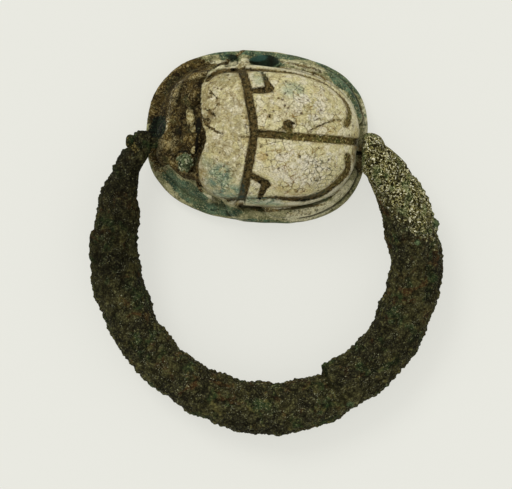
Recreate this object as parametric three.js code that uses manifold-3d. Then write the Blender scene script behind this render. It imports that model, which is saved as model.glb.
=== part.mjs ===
// Scarab swivel ring: a carved steatite scarab that turns on a pin between the ends of a bronze hoop.
// Millimetres. Origin on the flat seal face, under the middle of the scarab.
// +X runs along the pin from the beetle's head to its tail, +Y points away from the hoop, +Z is up.
// The ring lies as it does on a table: seal face down, the far side of the hoop touching the same level.

import * as THREE from 'three';
import { mergeVertices } from 'three/addons/utils/BufferGeometryUtils.js';
import Module from 'manifold-3d';

const wasm = await Module();
wasm.setup();

// Scarab, overall
const scarabLength = 16.6;
const scarabWidth = 12.8;
const scarabHeight = 7.4;
const headEndRoundness = 2.43;
const tailEndRoundness = 2.71;

// Seal plate, the flat oval base with the engraved seal face
const plateThickness = 1.2;
const plateEdgeBevel = 0.2;

// Waist, the recess between plate and back in which the legs are carved
const sideRimWidth = 1.2;
const tailRimWidth = 0.7;
const waistUndercut = 0.45;
const waistHeight = 1.0;
const backLipHeight = 0.5;

// Back, the domed wing cases and the plate in front of them
const headLength = 2.9;
const backRoundness = 2.5;
const domeFullness = 2.3;
const domeCrownShare = 0.06;

// Carved lines of the back
const carvingDepth = 0.35;
const mainLineWidth = 0.6;
const notchLineWidth = 0.42;
const borderLineWidth = 0.34;
const borderLineTailWidth = 0.5;

// Head and the shoulders beside it
const headHeight = 5.6;
const headRimWidth = 0.45;
const headDishDepth = 0.3;
const headFrontInset = 0.35;
const shoulderHeight = 4.0;
const shoulderRimWidth = 0.8;
const eyeLength = 1.5;
const eyeWidth = 1.7;
const browLength = 1.9;
const browWidth = 1.4;
const eyeRise = 0.45;
const clypeusLength = 1.8;
const clypeusWidth = 3.4;
const clypeusWall = 0.45;

// Legs
const middleLegWidth = 0.85;
const hindLegWidth = 1.0;

// Engraving of the seal face
const sealLineWidth = 0.25;
const sealLineDepth = 0.25;
const sealBorderInset = 0.75;
const sealRingRadius = 1.35;
const sealInnerRingRadius = 0.7;

// Pin and its holes
const pinRadius = 0.4;
const pinSeatClearance = 0.15;
const boreClearance = 0.35;
const boreSkewDegrees = 2.5;
const boreOffset = 0.9;
const rivetRadius = 0.55;
const rivetHeight = 0.4;
const pinTailLength = 1.2;
const blindHoleEndClearance = 0.2;

// Hoop
const hoopOverhang = 2.65;
const hoopBarRadius = 2.0;
const headKnuckleRadius = 0.92;
const tailKnuckleRadius = 1.6;
const headKnuckleLength = 1.4;
const tailKnuckleLength = 1.7;
const knuckleCornerRadius = 0.4;
const tailKnuckleOuterCornerRadius = 1.1;
const turnGap = 0.25;
const corrosionNubRadius = 0.45;
const corrosionLumpHeight = 0.26;
const corrosionLumpSpacing = 2.2;
const smoothNeckLength = 4.4;

// How far cutting solids run past what they cut, and how close corners are joined
const cutOverrun = 1.0;
const weldDistance = 0.00001;

// Centre of the hoop from the pin's middle, as shares of the hoop's radius along +X and -Y
const hoopCentreShares = [0.098, 0.771];
// The bar along the hoop, from the tail end round to the head end. Each station holds the angle in degrees,
// clockwise from +X about the hoop's centre, then shares of the hoop's radius and of the bar's radius.
const hoopStationShares = [
  [-27, 1.022, 0.92],
  [0, 1.024, 0.99],
  [30, 1.012, 0.98],
  [60, 0.998, 0.97],
  [88, 0.997, 1.0],
  [118, 0.975, 0.89],
  [143, 0.983, 0.91],
  [165, 1.0, 0.95],
  [182, 1.025, 0.9],
  [197, 1.06, 0.8],
];
// Neck of the bar at the head end, from the middle of the knuckle: outward along the pin, away from it,
// and the bar's half thickness, all as shares of the bar's radius.
const headNeckShares = [
  [0.755, 1.945, 0.71],
  [0.595, 1.345, 0.56],
  [0.5, 0.905, 0.5],
  [0.155, 0.3, 0.48],
  [0.035, 0.055, 0.33],
];
// Neck of the bar at the tail end, in the same shares
const tailNeckShares = [
  [0.05, 0.025, 0.575],
  [0.25, 0.3, 0.68],
  [0.645, 0.81, 0.8],
];
const nubAngleDegrees = -15.5;

// Carved lines in plan, as shares of the scarab's half length and half width. The head end is negative.
const crossLineShares = [
  [-0.215, 0.85], [-0.19, 0.74], [-0.125, 0.53], [-0.083, 0.33], [-0.038, 0.11],
  [-0.02, -0.03], [-0.03, -0.2], [-0.043, -0.4], [-0.054, -0.54], [-0.066, -0.67], [-0.1, -0.85],
];
const middleLineShares = [[-0.02, 0.0], [0.28, 0.005], [0.58, 0.01], [0.95, 0.03]];
const upperNotchShares = [[[-0.088, 0.48], [0.085, 0.535]], [[0.066, 0.52], [-0.01, 0.73]]];
const lowerNotchShares = [[[-0.03, -0.48], [0.14, -0.57]], [[0.118, -0.55], [0.08, -0.72]]];
const upperBorderShares = [
  [-0.13, 0.73], [0.09, 0.75], [0.31, 0.74], [0.525, 0.665], [0.675, 0.572], [0.783, 0.437], [0.82, 0.24],
];
const lowerBorderShares = [
  [-0.04, -0.725], [0.2, -0.7], [0.345, -0.695], [0.525, -0.646], [0.69, -0.535], [0.79, -0.41],
  [0.84, -0.27], [0.82, -0.13],
];
const forebackFrontShares = [
  [-0.2, 1.0], [-0.4, 0.8], [-0.517, 0.55], [-0.524, 0.39], [-0.512, 0.22], [-0.484, 0.05], [-0.45, -0.14],
  [-0.482, -0.3], [-0.484, -0.44], [-0.461, -0.6], [-0.38, -0.76], [-0.15, -1.0],
];
const headOutlineShares = [
  [-0.28, 0.66], [-0.55, 0.585], [-0.688, 0.53], [-0.764, 0.41], [-0.784, 0.22], [-0.795, 0.077],
  [-0.817, -0.11], [-0.815, -0.27], [-0.775, -0.42], [-0.683, -0.515], [-0.52, -0.563], [-0.28, -0.6],
];
const eyeShares = [[-0.615, 0.4], [-0.615, -0.39]];
const browShares = [-0.59, -0.09];
const shoulderBackShare = -0.34;

// Legs in plan, as the same shares, with a third share of the height between seal face and back edge.
const middleLegShares = [
  [-0.17, 0.7, 0.86], [-0.165, 0.84, 0.8], [-0.09, 0.91, 0.6], [0.1, 0.92, 0.52], [0.4, 0.885, 0.5],
];
const hindLegShares = [
  [0.13, 0.74, 0.72], [0.24, 0.84, 0.72], [0.45, 0.815, 0.7], [0.66, 0.7, 0.68], [0.8, 0.52, 0.66],
  [0.87, 0.32, 0.62],
];
const sealRingShares = [[0.42, 0.36], [0.42, -0.36], [-0.42, 0.36], [-0.42, -0.36]];

// Counts of facets
const ovalPoints = 48;
const domeLevels = 8;
const lineSteps = 14;
const outlineSteps = 28;
const legSteps = 15;
const legQuarterSteps = 4;
const barSteps = 92;
const barSides = 24;
const holeSides = 16;
const cornerSteps = 3;
const rivetSteps = 5;

// Sizes that follow from the ones above
const halfLength = scarabLength / 2;
const halfWidth = scarabWidth / 2;
const hoopRadius = halfLength + hoopOverhang;
const backEdgeHeight = plateThickness + waistHeight + backLipHeight;
const pinHeight = plateThickness + turnGap + tailKnuckleRadius;
const boreRadius = pinRadius + boreClearance;
const seatRadius = pinRadius + pinSeatClearance;
const boreSkew = THREE.MathUtils.degToRad(boreSkewDegrees);
const headKnuckleFace = -(halfLength - shoulderRimWidth + turnGap);
const tailKnuckleFace = halfLength - tailRimWidth + turnGap;

// Solid of a closed geometry, with its shared corners joined
function solidOf(geometry) {
  const bare = geometry.clone();
  bare.deleteAttribute('normal');
  bare.deleteAttribute('uv');
  const merged = mergeVertices(bare, weldDistance);
  return new wasm.Manifold(new wasm.Mesh({
    numProp: 3,
    vertProperties: new Float32Array(merged.attributes.position.array),
    triVerts: new Uint32Array(merged.index.array),
  }));
}

// Geometry of a finished solid
function geometryOf(solid) {
  const mesh = solid.getMesh();
  const geometry = new THREE.BufferGeometry();
  geometry.setAttribute('position', new THREE.BufferAttribute(new Float32Array(mesh.vertProperties), 3));
  geometry.setIndex(new THREE.BufferAttribute(new Uint32Array(mesh.triVerts), 1));
  geometry.computeVertexNormals();
  return geometry;
}

// Closed geometry through rings of points with as many points each, the ends closed with a fan
function loftGeometry(rings) {
  const sides = rings[0].length;
  const last = rings.length - 1;
  const positions = rings.flat();
  const triangles = [];
  for (let level = 0; level < last; level++) {
    for (let side = 0; side < sides; side++) {
      const next = (side + 1) % sides;
      const here = level * sides;
      const above = here + sides;
      triangles.push(here + side, here + next, above + next);
      triangles.push(here + side, above + next, above + side);
    }
  }
  const middleOf = (ring) => ring
    .reduce((sum, point) => sum.add(point), new THREE.Vector3())
    .divideScalar(sides);
  const startMiddle = positions.push(middleOf(rings[0])) - 1;
  const endMiddle = positions.push(middleOf(rings[last])) - 1;
  for (let side = 0; side < sides; side++) {
    const next = (side + 1) % sides;
    triangles.push(startMiddle, next, side);
    triangles.push(endMiddle, last * sides + side, last * sides + next);
  }
  const geometry = new THREE.BufferGeometry().setFromPoints(positions);
  geometry.setIndex(triangles);
  return geometry;
}

// Point of an oval whose head and tail ends have their own reach and roundness
function ovalPoint(angle, oval) {
  const along = Math.cos(angle);
  const across = Math.sin(angle);
  const atHead = along < 0;
  const power = 2 / (atHead ? oval.headRoundness : oval.tailRoundness);
  const reach = atHead ? oval.headReach : oval.tailReach;
  return new THREE.Vector2(
    reach * Math.sign(along) * Math.abs(along) ** power,
    oval.halfWidth * Math.sign(across) * Math.abs(across) ** power,
  );
}

function ovalOutline(oval) {
  return Array.from({ length: ovalPoints }, (_, i) => ovalPoint((i / ovalPoints) * 2 * Math.PI, oval));
}

// The plate's oval, drawn in by an inset
function plateOval(inset) {
  return {
    headReach: halfLength - inset,
    tailReach: halfLength - inset,
    halfWidth: halfWidth - inset,
    headRoundness: headEndRoundness,
    tailRoundness: tailEndRoundness,
  };
}

// The back's oval, drawn in by an inset
function backOval(inset) {
  return {
    headReach: halfLength - headLength - inset,
    tailReach: halfLength - tailRimWidth - inset,
    halfWidth: halfWidth - sideRimWidth - inset,
    headRoundness: backRoundness,
    tailRoundness: backRoundness,
  };
}

function ringAt(oval, height, share = 1) {
  return ovalOutline(oval).map((point) => new THREE.Vector3(point.x * share, point.y * share, height));
}

// Rounded dome over an oval, from its edge level to its top
function domeRings(oval, edgeHeight, topHeight) {
  const rings = [];
  for (let level = 0; level < domeLevels; level++) {
    const rise = Math.sin((level / domeLevels) * Math.PI / 2);
    const spread = (1 - rise ** domeFullness) ** (1 / domeFullness);
    rings.push(ringAt(oval, edgeHeight + (topHeight - edgeHeight) * rise, spread));
  }
  rings.push(ringAt(oval, topHeight, domeCrownShare));
  return rings;
}

// Upright prism over a closed outline
function prism(outline, bottom, top) {
  const geometry = new THREE.ExtrudeGeometry(new THREE.Shape(outline), {
    depth: top - bottom,
    bevelEnabled: false,
  });
  return solidOf(geometry.translate(0, 0, bottom));
}

// Place in plan from shares of the half length and half width
function planPoint([lengthShare, widthShare]) {
  return new THREE.Vector2(lengthShare * halfLength, widthShare * halfWidth);
}

// Outline of a carved line along points in plan, its width changing evenly from start to end
function lineOutline(shares, startWidth, endWidth = startWidth) {
  const curve = new THREE.SplineCurve(shares.map(planPoint));
  const steps = shares.length > 2 ? lineSteps : 1;
  const left = [];
  const right = [];
  for (let i = 0; i <= steps; i++) {
    const t = i / steps;
    const point = curve.getPointAt(t);
    const tangent = curve.getTangentAt(t);
    const half = THREE.MathUtils.lerp(startWidth, endWidth, t) / 2;
    left.push(new THREE.Vector2(point.x - tangent.y * half, point.y + tangent.x * half));
    right.unshift(new THREE.Vector2(point.x + tangent.y * half, point.y - tangent.x * half));
  }
  return [...left, ...right];
}

// Rounded lump, centred on a point, from its half sizes
function lump(centre, halfX, halfY, halfZ) {
  const geometry = new THREE.SphereGeometry(1, holeSides, holeSides / 2);
  geometry.scale(halfX, halfY, halfZ);
  return solidOf(geometry.translate(centre.x, centre.y, centre.z));
}

// Round-sided leg along points given as shares
function leg(shares, width, side) {
  const points = shares.map(([lengthShare, widthShare, heightShare]) => new THREE.Vector3(
    lengthShare * halfLength,
    widthShare * halfWidth * side,
    heightShare * backEdgeHeight,
  ));
  const section = new THREE.Shape().absarc(0, 0, width / 2, 0, 2 * Math.PI);
  const geometry = new THREE.ExtrudeGeometry(section, {
    steps: legSteps,
    curveSegments: legQuarterSteps,
    extrudePath: new THREE.CatmullRomCurve3(points),
  });
  return solidOf(geometry);
}

// Height of a dome's surface over a place in plan
function domeHeight(oval, edgeHeight, topHeight, place) {
  const reach = place.x < 0 ? oval.headReach : oval.tailReach;
  const roundness = place.x < 0 ? oval.headRoundness : oval.tailRoundness;
  const spread = (Math.abs(place.x / reach) ** roundness + Math.abs(place.y / oval.halfWidth) ** roundness)
    ** (1 / roundness);
  return edgeHeight + (topHeight - edgeHeight) * (1 - spread ** domeFullness) ** (1 / domeFullness);
}

// Plate: the oval base with bevelled edges
function buildPlate() {
  const geometry = new THREE.ExtrudeGeometry(new THREE.Shape(ovalOutline(plateOval(plateEdgeBevel))), {
    depth: plateThickness - 2 * plateEdgeBevel,
    bevelThickness: plateEdgeBevel,
    bevelSize: plateEdgeBevel,
    bevelSegments: 1,
  });
  return solidOf(geometry.translate(0, 0, plateEdgeBevel));
}

// Back: the waist, the lip that overhangs it and the dome, cut off along the front of the foreback
function buildBack() {
  const waist = [
    ringAt(backOval(waistUndercut), plateThickness - plateEdgeBevel),
    ringAt(backOval(waistUndercut), plateThickness + waistHeight),
  ];
  const dome = solidOf(loftGeometry([...waist, ...domeRings(backOval(0), backEdgeHeight, scarabHeight)]));
  const frontCurve = new THREE.SplineCurve(forebackFrontShares.map(planPoint)).getPoints(outlineSteps);
  const behindFront = [
    ...frontCurve,
    new THREE.Vector2(halfLength + cutOverrun, -halfWidth - cutOverrun),
    new THREE.Vector2(halfLength + cutOverrun, halfWidth + cutOverrun),
  ];
  return dome.intersect(prism(behindFront, 0, scarabHeight + cutOverrun));
}

// Carved lines, cut to an even depth: the strips between the dome's surface and a smaller dome inside it
function buildCarving() {
  const core = solidOf(loftGeometry([
    ringAt(backOval(carvingDepth), 0),
    ...domeRings(backOval(carvingDepth), backEdgeHeight, scarabHeight - carvingDepth),
  ]));
  const outlines = [
    lineOutline(crossLineShares, mainLineWidth),
    lineOutline(middleLineShares, mainLineWidth),
    lineOutline(upperBorderShares, borderLineWidth, borderLineTailWidth),
    lineOutline(lowerBorderShares, borderLineWidth, borderLineTailWidth),
    ...upperNotchShares.map((shares) => lineOutline(shares, notchLineWidth)),
    ...lowerNotchShares.map((shares) => lineOutline(shares, notchLineWidth)),
  ];
  const strips = outlines.map((outline) => prism(outline, backEdgeHeight, scarabHeight + cutOverrun));
  return wasm.Manifold.union(strips).subtract(core);
}

// Head: a lower dome inside the head's outline, dished behind a raised rim, with eyes and brow
function buildHead() {
  const oval = plateOval(headFrontInset);
  const outline = new THREE.SplineCurve(headOutlineShares.map(planPoint)).getPoints(outlineSteps);
  const middle = new THREE.Vector2(outline[0].x, 0);
  const reach = middle.x - Math.min(...outline.map((point) => point.x));
  const dishShare = 1 - headRimWidth / reach;
  const dishOutline = outline.map((point) => point.clone().sub(middle).multiplyScalar(dishShare).add(middle));
  const block = solidOf(loftGeometry(domeRings(oval, plateThickness, headHeight)));
  const dishFloor = solidOf(loftGeometry(domeRings(oval, plateThickness, headHeight - headDishDepth)));
  const dish = prism(dishOutline, plateThickness, scarabHeight).subtract(dishFloor);
  let head = block.intersect(prism(outline, plateThickness - plateEdgeBevel, scarabHeight)).subtract(dish);
  const lumps = [
    ...eyeShares.map((shares) => [shares, eyeLength, eyeWidth]),
    [browShares, browLength, browWidth],
  ];
  for (const [shares, length, width] of lumps) {
    const place = planPoint(shares);
    const height = domeHeight(oval, plateThickness, headHeight, place) - headDishDepth;
    const centre = new THREE.Vector3(place.x, place.y, height);
    head = head.add(lump(centre, length / 2, width / 2, eyeRise));
  }
  return head.add(buildClypeus());
}

// Clypeus: the blunt front of the head, which closes over the mouth of the bore
function buildClypeus() {
  const front = shoulderRimWidth - halfLength;
  const middle = new THREE.Vector3(front + clypeusLength / 2, -boreOffset, pinHeight);
  return lump(middle, clypeusLength / 2, clypeusWidth / 2, boreRadius + clypeusWall)
    .rotate([0, 0, boreSkewDegrees]);
}

// Shoulders: the forelegs that lie round the head, as one low rounded band, and the side hollows behind them
function buildShoulders() {
  const band = solidOf(loftGeometry(domeRings(plateOval(shoulderRimWidth), plateThickness - plateEdgeBevel,
    shoulderHeight)));
  const back = planPoint([shoulderBackShare, 0]).x;
  const reach = halfLength + cutOverrun;
  const keep = [
    new THREE.Vector2(back, reach),
    new THREE.Vector2(-reach, reach),
    new THREE.Vector2(-reach, -reach),
    new THREE.Vector2(back, -reach),
  ];
  return band.intersect(prism(keep, 0, scarabHeight));
}

// Legs behind the shoulders: on each side the middle leg, bent along the plate, and the hind leg
function buildLegs() {
  const solids = [];
  for (const side of [1, -1]) {
    solids.push(leg(middleLegShares, middleLegWidth, side));
    solids.push(leg(hindLegShares, hindLegWidth, side));
  }
  return wasm.Manifold.union(solids);
}

// Seal face engraving: a border line and four ringed circles, cut up into the plate
function buildSealEngraving() {
  const closedLine = (outer, inner) => prism(outer, -cutOverrun, sealLineDepth)
    .subtract(prism(inner, -2 * cutOverrun, sealLineDepth + cutOverrun));
  const circle = (centre, radius) => new THREE.EllipseCurve(centre.x, centre.y, radius, radius)
    .getPoints(holeSides).slice(0, holeSides);
  const cuts = [closedLine(
    ovalOutline(plateOval(sealBorderInset)),
    ovalOutline(plateOval(sealBorderInset + sealLineWidth)),
  )];
  for (const shares of sealRingShares) {
    for (const radius of [sealRingRadius, sealInnerRingRadius]) {
      const centre = planPoint(shares);
      cuts.push(closedLine(circle(centre, radius), circle(centre, radius - sealLineWidth)));
    }
  }
  return wasm.Manifold.union(cuts);
}

// Rod along X between two places
function rod(radius, start, end) {
  const geometry = new THREE.CylinderGeometry(radius, radius, end - start, holeSides);
  geometry.rotateZ(-Math.PI / 2).translate((start + end) / 2, 0, 0);
  return solidOf(geometry);
}

// Bore through the scarab, drilled a little askew and to one side, as by hand
function buildBore() {
  const reach = halfLength + cutOverrun;
  return rod(boreRadius, -reach, reach)
    .translate([0, -boreOffset, pinHeight])
    .rotate([0, 0, boreSkewDegrees]);
}

function buildScarab() {
  const back = buildBack().subtract(buildCarving());
  return wasm.Manifold.union([buildPlate(), back, buildHead(), buildShoulders(), buildLegs()])
    .subtract(buildBore())
    .subtract(buildSealEngraving());
}

// Place in the hoop's plane at an angle and a distance from the hoop's centre
function placeOnHoop(degrees, distance) {
  const angle = THREE.MathUtils.degToRad(degrees);
  return new THREE.Vector3(
    hoopCentreShares[0] * hoopRadius + distance * Math.cos(angle),
    -hoopCentreShares[1] * hoopRadius - distance * Math.sin(angle),
    0,
  );
}

// Rise of the lumps of corrosion over the bar, or their fall below it: crossing waves that fade out over
// the necks
function lumpRise(along, fromEnd, angle) {
  const turns = (along / corrosionLumpSpacing) * Math.PI;
  const waves = Math.sin(turns + 2 * Math.sin(2 * angle + 4)) * Math.cos(3 * angle + turns / 3)
    + Math.sin(5 * angle - turns / 2 + Math.sin(turns / 5)) / 2;
  const fade = THREE.MathUtils.smoothstep(fromEnd, smoothNeckLength / 2, smoothNeckLength);
  return (corrosionLumpHeight / 2) * fade * THREE.MathUtils.clamp(waves, -1, 1);
}

// Hoop bar: a round section swept round the hoop, its thickness following the stations
function buildBar() {
  const neckStation = (middle, outward) => ([alongShare, dropShare, barShare]) => [
    middle + outward * alongShare * hoopBarRadius,
    -dropShare * hoopBarRadius,
    barShare,
  ];
  const roundStation = ([degrees, radiusShare, barShare]) => {
    const place = placeOnHoop(degrees, radiusShare * hoopRadius);
    return [place.x, place.y, barShare];
  };
  const stations = [
    ...tailNeckShares.map(neckStation(tailKnuckleFace + tailKnuckleLength / 2, 1)),
    ...hoopStationShares.map(roundStation),
    ...headNeckShares.map(neckStation(headKnuckleFace - headKnuckleLength / 2, -1)),
  ];
  const path = new THREE.CatmullRomCurve3(stations.map(([x, y]) => new THREE.Vector3(x, y, 0)));
  const barShares = stations.map(([, , barShare], i) => new THREE.Vector2(i, barShare));
  const thickness = new THREE.SplineCurve(barShares);
  const length = path.getLength();
  const rings = [];
  for (let step = 0; step <= barSteps; step++) {
    const along = (step / barSteps) * length;
    const fromEnd = Math.min(along, length - along);
    const t = path.getUtoTmapping(step / barSteps);
    const point = path.getPoint(t);
    const tangent = path.getTangent(t);
    const radius = hoopBarRadius * thickness.getPoint(t).y;
    const across = new THREE.Vector3(tangent.y, -tangent.x, 0);
    rings.push(Array.from({ length: barSides }, (_, i) => {
      const angle = (i / barSides) * 2 * Math.PI;
      const reach = radius + lumpRise(along, fromEnd, angle);
      return point.clone()
        .addScaledVector(across, -reach * Math.cos(angle))
        .add(new THREE.Vector3(0, 0, reach * Math.sin(angle)));
    }));
  }
  return solidOf(loftGeometry(rings));
}

// Knuckle: a rounded barrel on the pin's axis, between two places along it
function buildKnuckle(radius, start, end, endCornerRadius = knuckleCornerRadius) {
  const profile = new THREE.Path()
    .moveTo(0, start)
    .lineTo(radius - knuckleCornerRadius, start)
    .absarc(radius - knuckleCornerRadius, start + knuckleCornerRadius, knuckleCornerRadius, -Math.PI / 2, 0)
    .absarc(radius - endCornerRadius, end - endCornerRadius, endCornerRadius, 0, Math.PI / 2)
    .lineTo(0, end);
  const geometry = new THREE.LatheGeometry(profile.getPoints(cornerSteps), holeSides);
  return solidOf(geometry.rotateZ(-Math.PI / 2));
}

// Shank: the bar with a drilled knuckle at each end, and one nub of corrosion on its outer side
function buildShank() {
  const headKnuckle = buildKnuckle(headKnuckleRadius, headKnuckleFace - headKnuckleLength, headKnuckleFace);
  const tailKnuckle = buildKnuckle(
    tailKnuckleRadius,
    tailKnuckleFace,
    tailKnuckleFace + tailKnuckleLength,
    tailKnuckleOuterCornerRadius,
  );
  const nubPlace = placeOnHoop(nubAngleDegrees, hoopRadius + hoopBarRadius);
  const nub = lump(nubPlace, corrosionNubRadius, corrosionNubRadius, corrosionNubRadius);
  const headKnuckleEnd = headKnuckleFace - headKnuckleLength;
  const seatStart = headKnuckleEnd - rivetHeight - cutOverrun;
  const headHole = rod(seatRadius, headKnuckleEnd - cutOverrun, headKnuckleFace + cutOverrun);
  const rivetSeat = rod(rivetRadius + pinSeatClearance, seatStart, headKnuckleEnd);
  const tailHole = rod(seatRadius, 0, tailKnuckleFace + pinTailLength + blindHoleEndClearance);
  return wasm.Manifold.union([buildBar(), headKnuckle, tailKnuckle, nub])
    .subtract(headHole)
    .subtract(rivetSeat)
    .subtract(tailHole);
}

// Pin: a rod from the blind hole at the tail end to the domed rivet head outside the other knuckle
function buildPin() {
  const headSeat = headKnuckleFace - headKnuckleLength - pinSeatClearance;
  const profile = new THREE.Path()
    .moveTo(0, -headSeat + rivetHeight)
    .quadraticCurveTo(rivetRadius, -headSeat + rivetHeight, rivetRadius, -headSeat)
    .lineTo(pinRadius, -headSeat)
    .lineTo(pinRadius, -tailKnuckleFace - pinTailLength)
    .lineTo(0, -tailKnuckleFace - pinTailLength);
  const points = profile.getPoints(rivetSteps).reverse();
  return solidOf(new THREE.LatheGeometry(points, holeSides).rotateZ(Math.PI / 2));
}

function piece(name, solid, colour, roughness, metalness) {
  const material = new THREE.MeshStandardMaterial({ color: colour, roughness, metalness });
  const mesh = new THREE.Mesh(geometryOf(solid), material);
  mesh.name = name;
  return mesh;
}

// Scarab, turned so that its skewed bore lies along X
const scarab = piece('scarab', buildScarab(), 0xb0a883, 0.6, 0.0);
scarab.rotation.z = -boreSkew;

// Hoop with its pin, laid down about the pin until its far side rests level with the seal face
const farBarShare = Math.max(...hoopStationShares.map(([, , barShare]) => barShare));
const farReach = (1 + hoopCentreShares[1]) * hoopRadius;
const farBarRadius = farBarShare * hoopBarRadius + corrosionLumpHeight / 2;
const hoop = new THREE.Group();
hoop.add(piece('shank', buildShank(), 0x35341f, 0.85, 0.4));
hoop.add(piece('swivel_pin', buildPin(), 0x3a3320, 0.8, 0.5));
hoop.position.set(0, -boreOffset, pinHeight);
hoop.rotation.x = Math.asin((pinHeight - farBarRadius) / farReach);

const scarabRing = new THREE.Group();
scarabRing.add(scarab, hoop);

export default scarabRing;
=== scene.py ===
# Scarab swivel ring: a carved, glazed stone beetle that turns on a pin between the ends of a corroded hoop.
# Metres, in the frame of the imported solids: seal face on z = 0, the pin along X, the hoop towards -Y.

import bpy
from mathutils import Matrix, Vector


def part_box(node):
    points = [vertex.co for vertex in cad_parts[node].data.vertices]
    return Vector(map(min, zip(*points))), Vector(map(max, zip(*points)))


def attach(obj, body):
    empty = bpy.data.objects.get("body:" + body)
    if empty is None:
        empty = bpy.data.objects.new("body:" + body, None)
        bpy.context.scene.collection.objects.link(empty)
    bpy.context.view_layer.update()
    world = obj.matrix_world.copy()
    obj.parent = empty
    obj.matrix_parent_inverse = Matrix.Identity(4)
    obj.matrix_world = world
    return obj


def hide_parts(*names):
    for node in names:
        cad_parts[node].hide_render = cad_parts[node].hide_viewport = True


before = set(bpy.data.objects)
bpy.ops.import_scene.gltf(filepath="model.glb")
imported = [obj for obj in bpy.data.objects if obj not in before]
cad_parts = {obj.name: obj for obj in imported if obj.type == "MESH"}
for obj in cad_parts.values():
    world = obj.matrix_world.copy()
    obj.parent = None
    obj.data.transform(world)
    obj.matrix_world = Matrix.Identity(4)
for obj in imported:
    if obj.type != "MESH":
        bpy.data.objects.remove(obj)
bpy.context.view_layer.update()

import math

import bpy
import numpy as np
from bpy.props import FloatProperty, FloatVectorProperty, IntProperty, PointerProperty
from mathutils import Matrix, Vector, noise

bl_info = {
    "name": "Scarab swivel ring",
    "version": (1, 0, 0),
    "blender": (4, 5, 0),
    "location": "3D View > Sidebar > Scarab ring",
    "description": "Builds a worn scarab, its corroded hoop and pin, and a plain stage round the solids",
    "category": "Object",
}

MM = 0.001
# How far inside the box of its solid every point of a piece stays, in metres
INSET = 1e-6
# Keeps shares of a distance off zero, where their slope has no direction
TINY = 1e-6

# Sizes of the stone in millimetres, in its own frame, which is turned against the pin: its bore is askew
BORE_SKEW = math.radians(2.5)
BORE_RADIUS = 0.75
BORE_PLACE = (-0.9, 3.05)
PLATE_TOP = 1.2
BACK_EDGE = 2.7
BACK_TOP = 7.4
HEAD_TOP = 5.6
SHOULDER_TOP = 4.0
SHOULDER_BACK = -2.82
SHOULDER_SINK = 0.2
# Power of the domes' rounding, where 2 is an ellipsoid and more is fuller
FULLNESS = 2.3
# Ovals: reach towards head and tail, half width, power of the rounding towards head and tail
PLATE_OVAL = (8.27, 8.27, 6.33, 2.43, 2.71)
BACK_OVAL = (5.4, 7.6, 5.2, 2.5, 2.5)
HEAD_OVAL = (7.95, 7.95, 6.05, 2.43, 2.71)
SHOULDER_OVAL = (7.5, 7.5, 5.6, 2.43, 2.71)
WAIST_UNDERCUT = 0.45
# Sunken face of the head: depth, start and end of its wall inside the outline, and how full its forms are
HEAD_DISH = 0.42
HEAD_DISH_WALL = (0.25, 0.65)
LUMP_FULLNESS = 0.6
# Clypeus, the blunt front of the head over the bore: half sizes, and its middle along the bore
CLYPEUS_HALF_SIZES = (0.9, 1.7, 1.2)
CLYPEUS_PLACE = -6.6
# Engraving of the seal face: width and depth of its lines, its border's distance from the edge, its rings,
# and where a line's wall starts and ends, from its edge
SEAL_LINE = 0.25
SEAL_BORDER = 0.875
SEAL_RING_RADII = (1.225, 0.575)
SEAL_WALL = (-0.06, 0.05)
SEAL_RINGS = [(3.49, 2.3), (3.49, -2.3), (-3.49, 2.3), (-3.49, -2.3)]
# Heights under which a point belongs to the seal face with its engraving, and to the flat face alone
SEAL_LEVEL = 0.3
SEAL_FACE_LEVEL = 0.15
# How softly the forms are rounded where they meet
SOFTNESS = {"plate": 0.25, "back": 0.3, "head": 0.3, "shoulders": 0.4, "pair": 0.2, "all": 0.12,
            "clypeus": 0.45, "bore": 0.15, "seal": 0.1}
# Heights between which the waist's undercut runs out, and the carving of the back starts
UNDERCUT_END = (1.9, 2.5)
CARVING_START = (2.4, 2.9)
# Corners of the space in which the stone is carved, and how far a point is drawn onto its form in one go
CARVING_LOW = (-8.6, -6.7, -0.3)
CARVING_HIGH = (8.6, 6.7, 7.7)
DRAWN_REACH = 0.1

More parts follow.
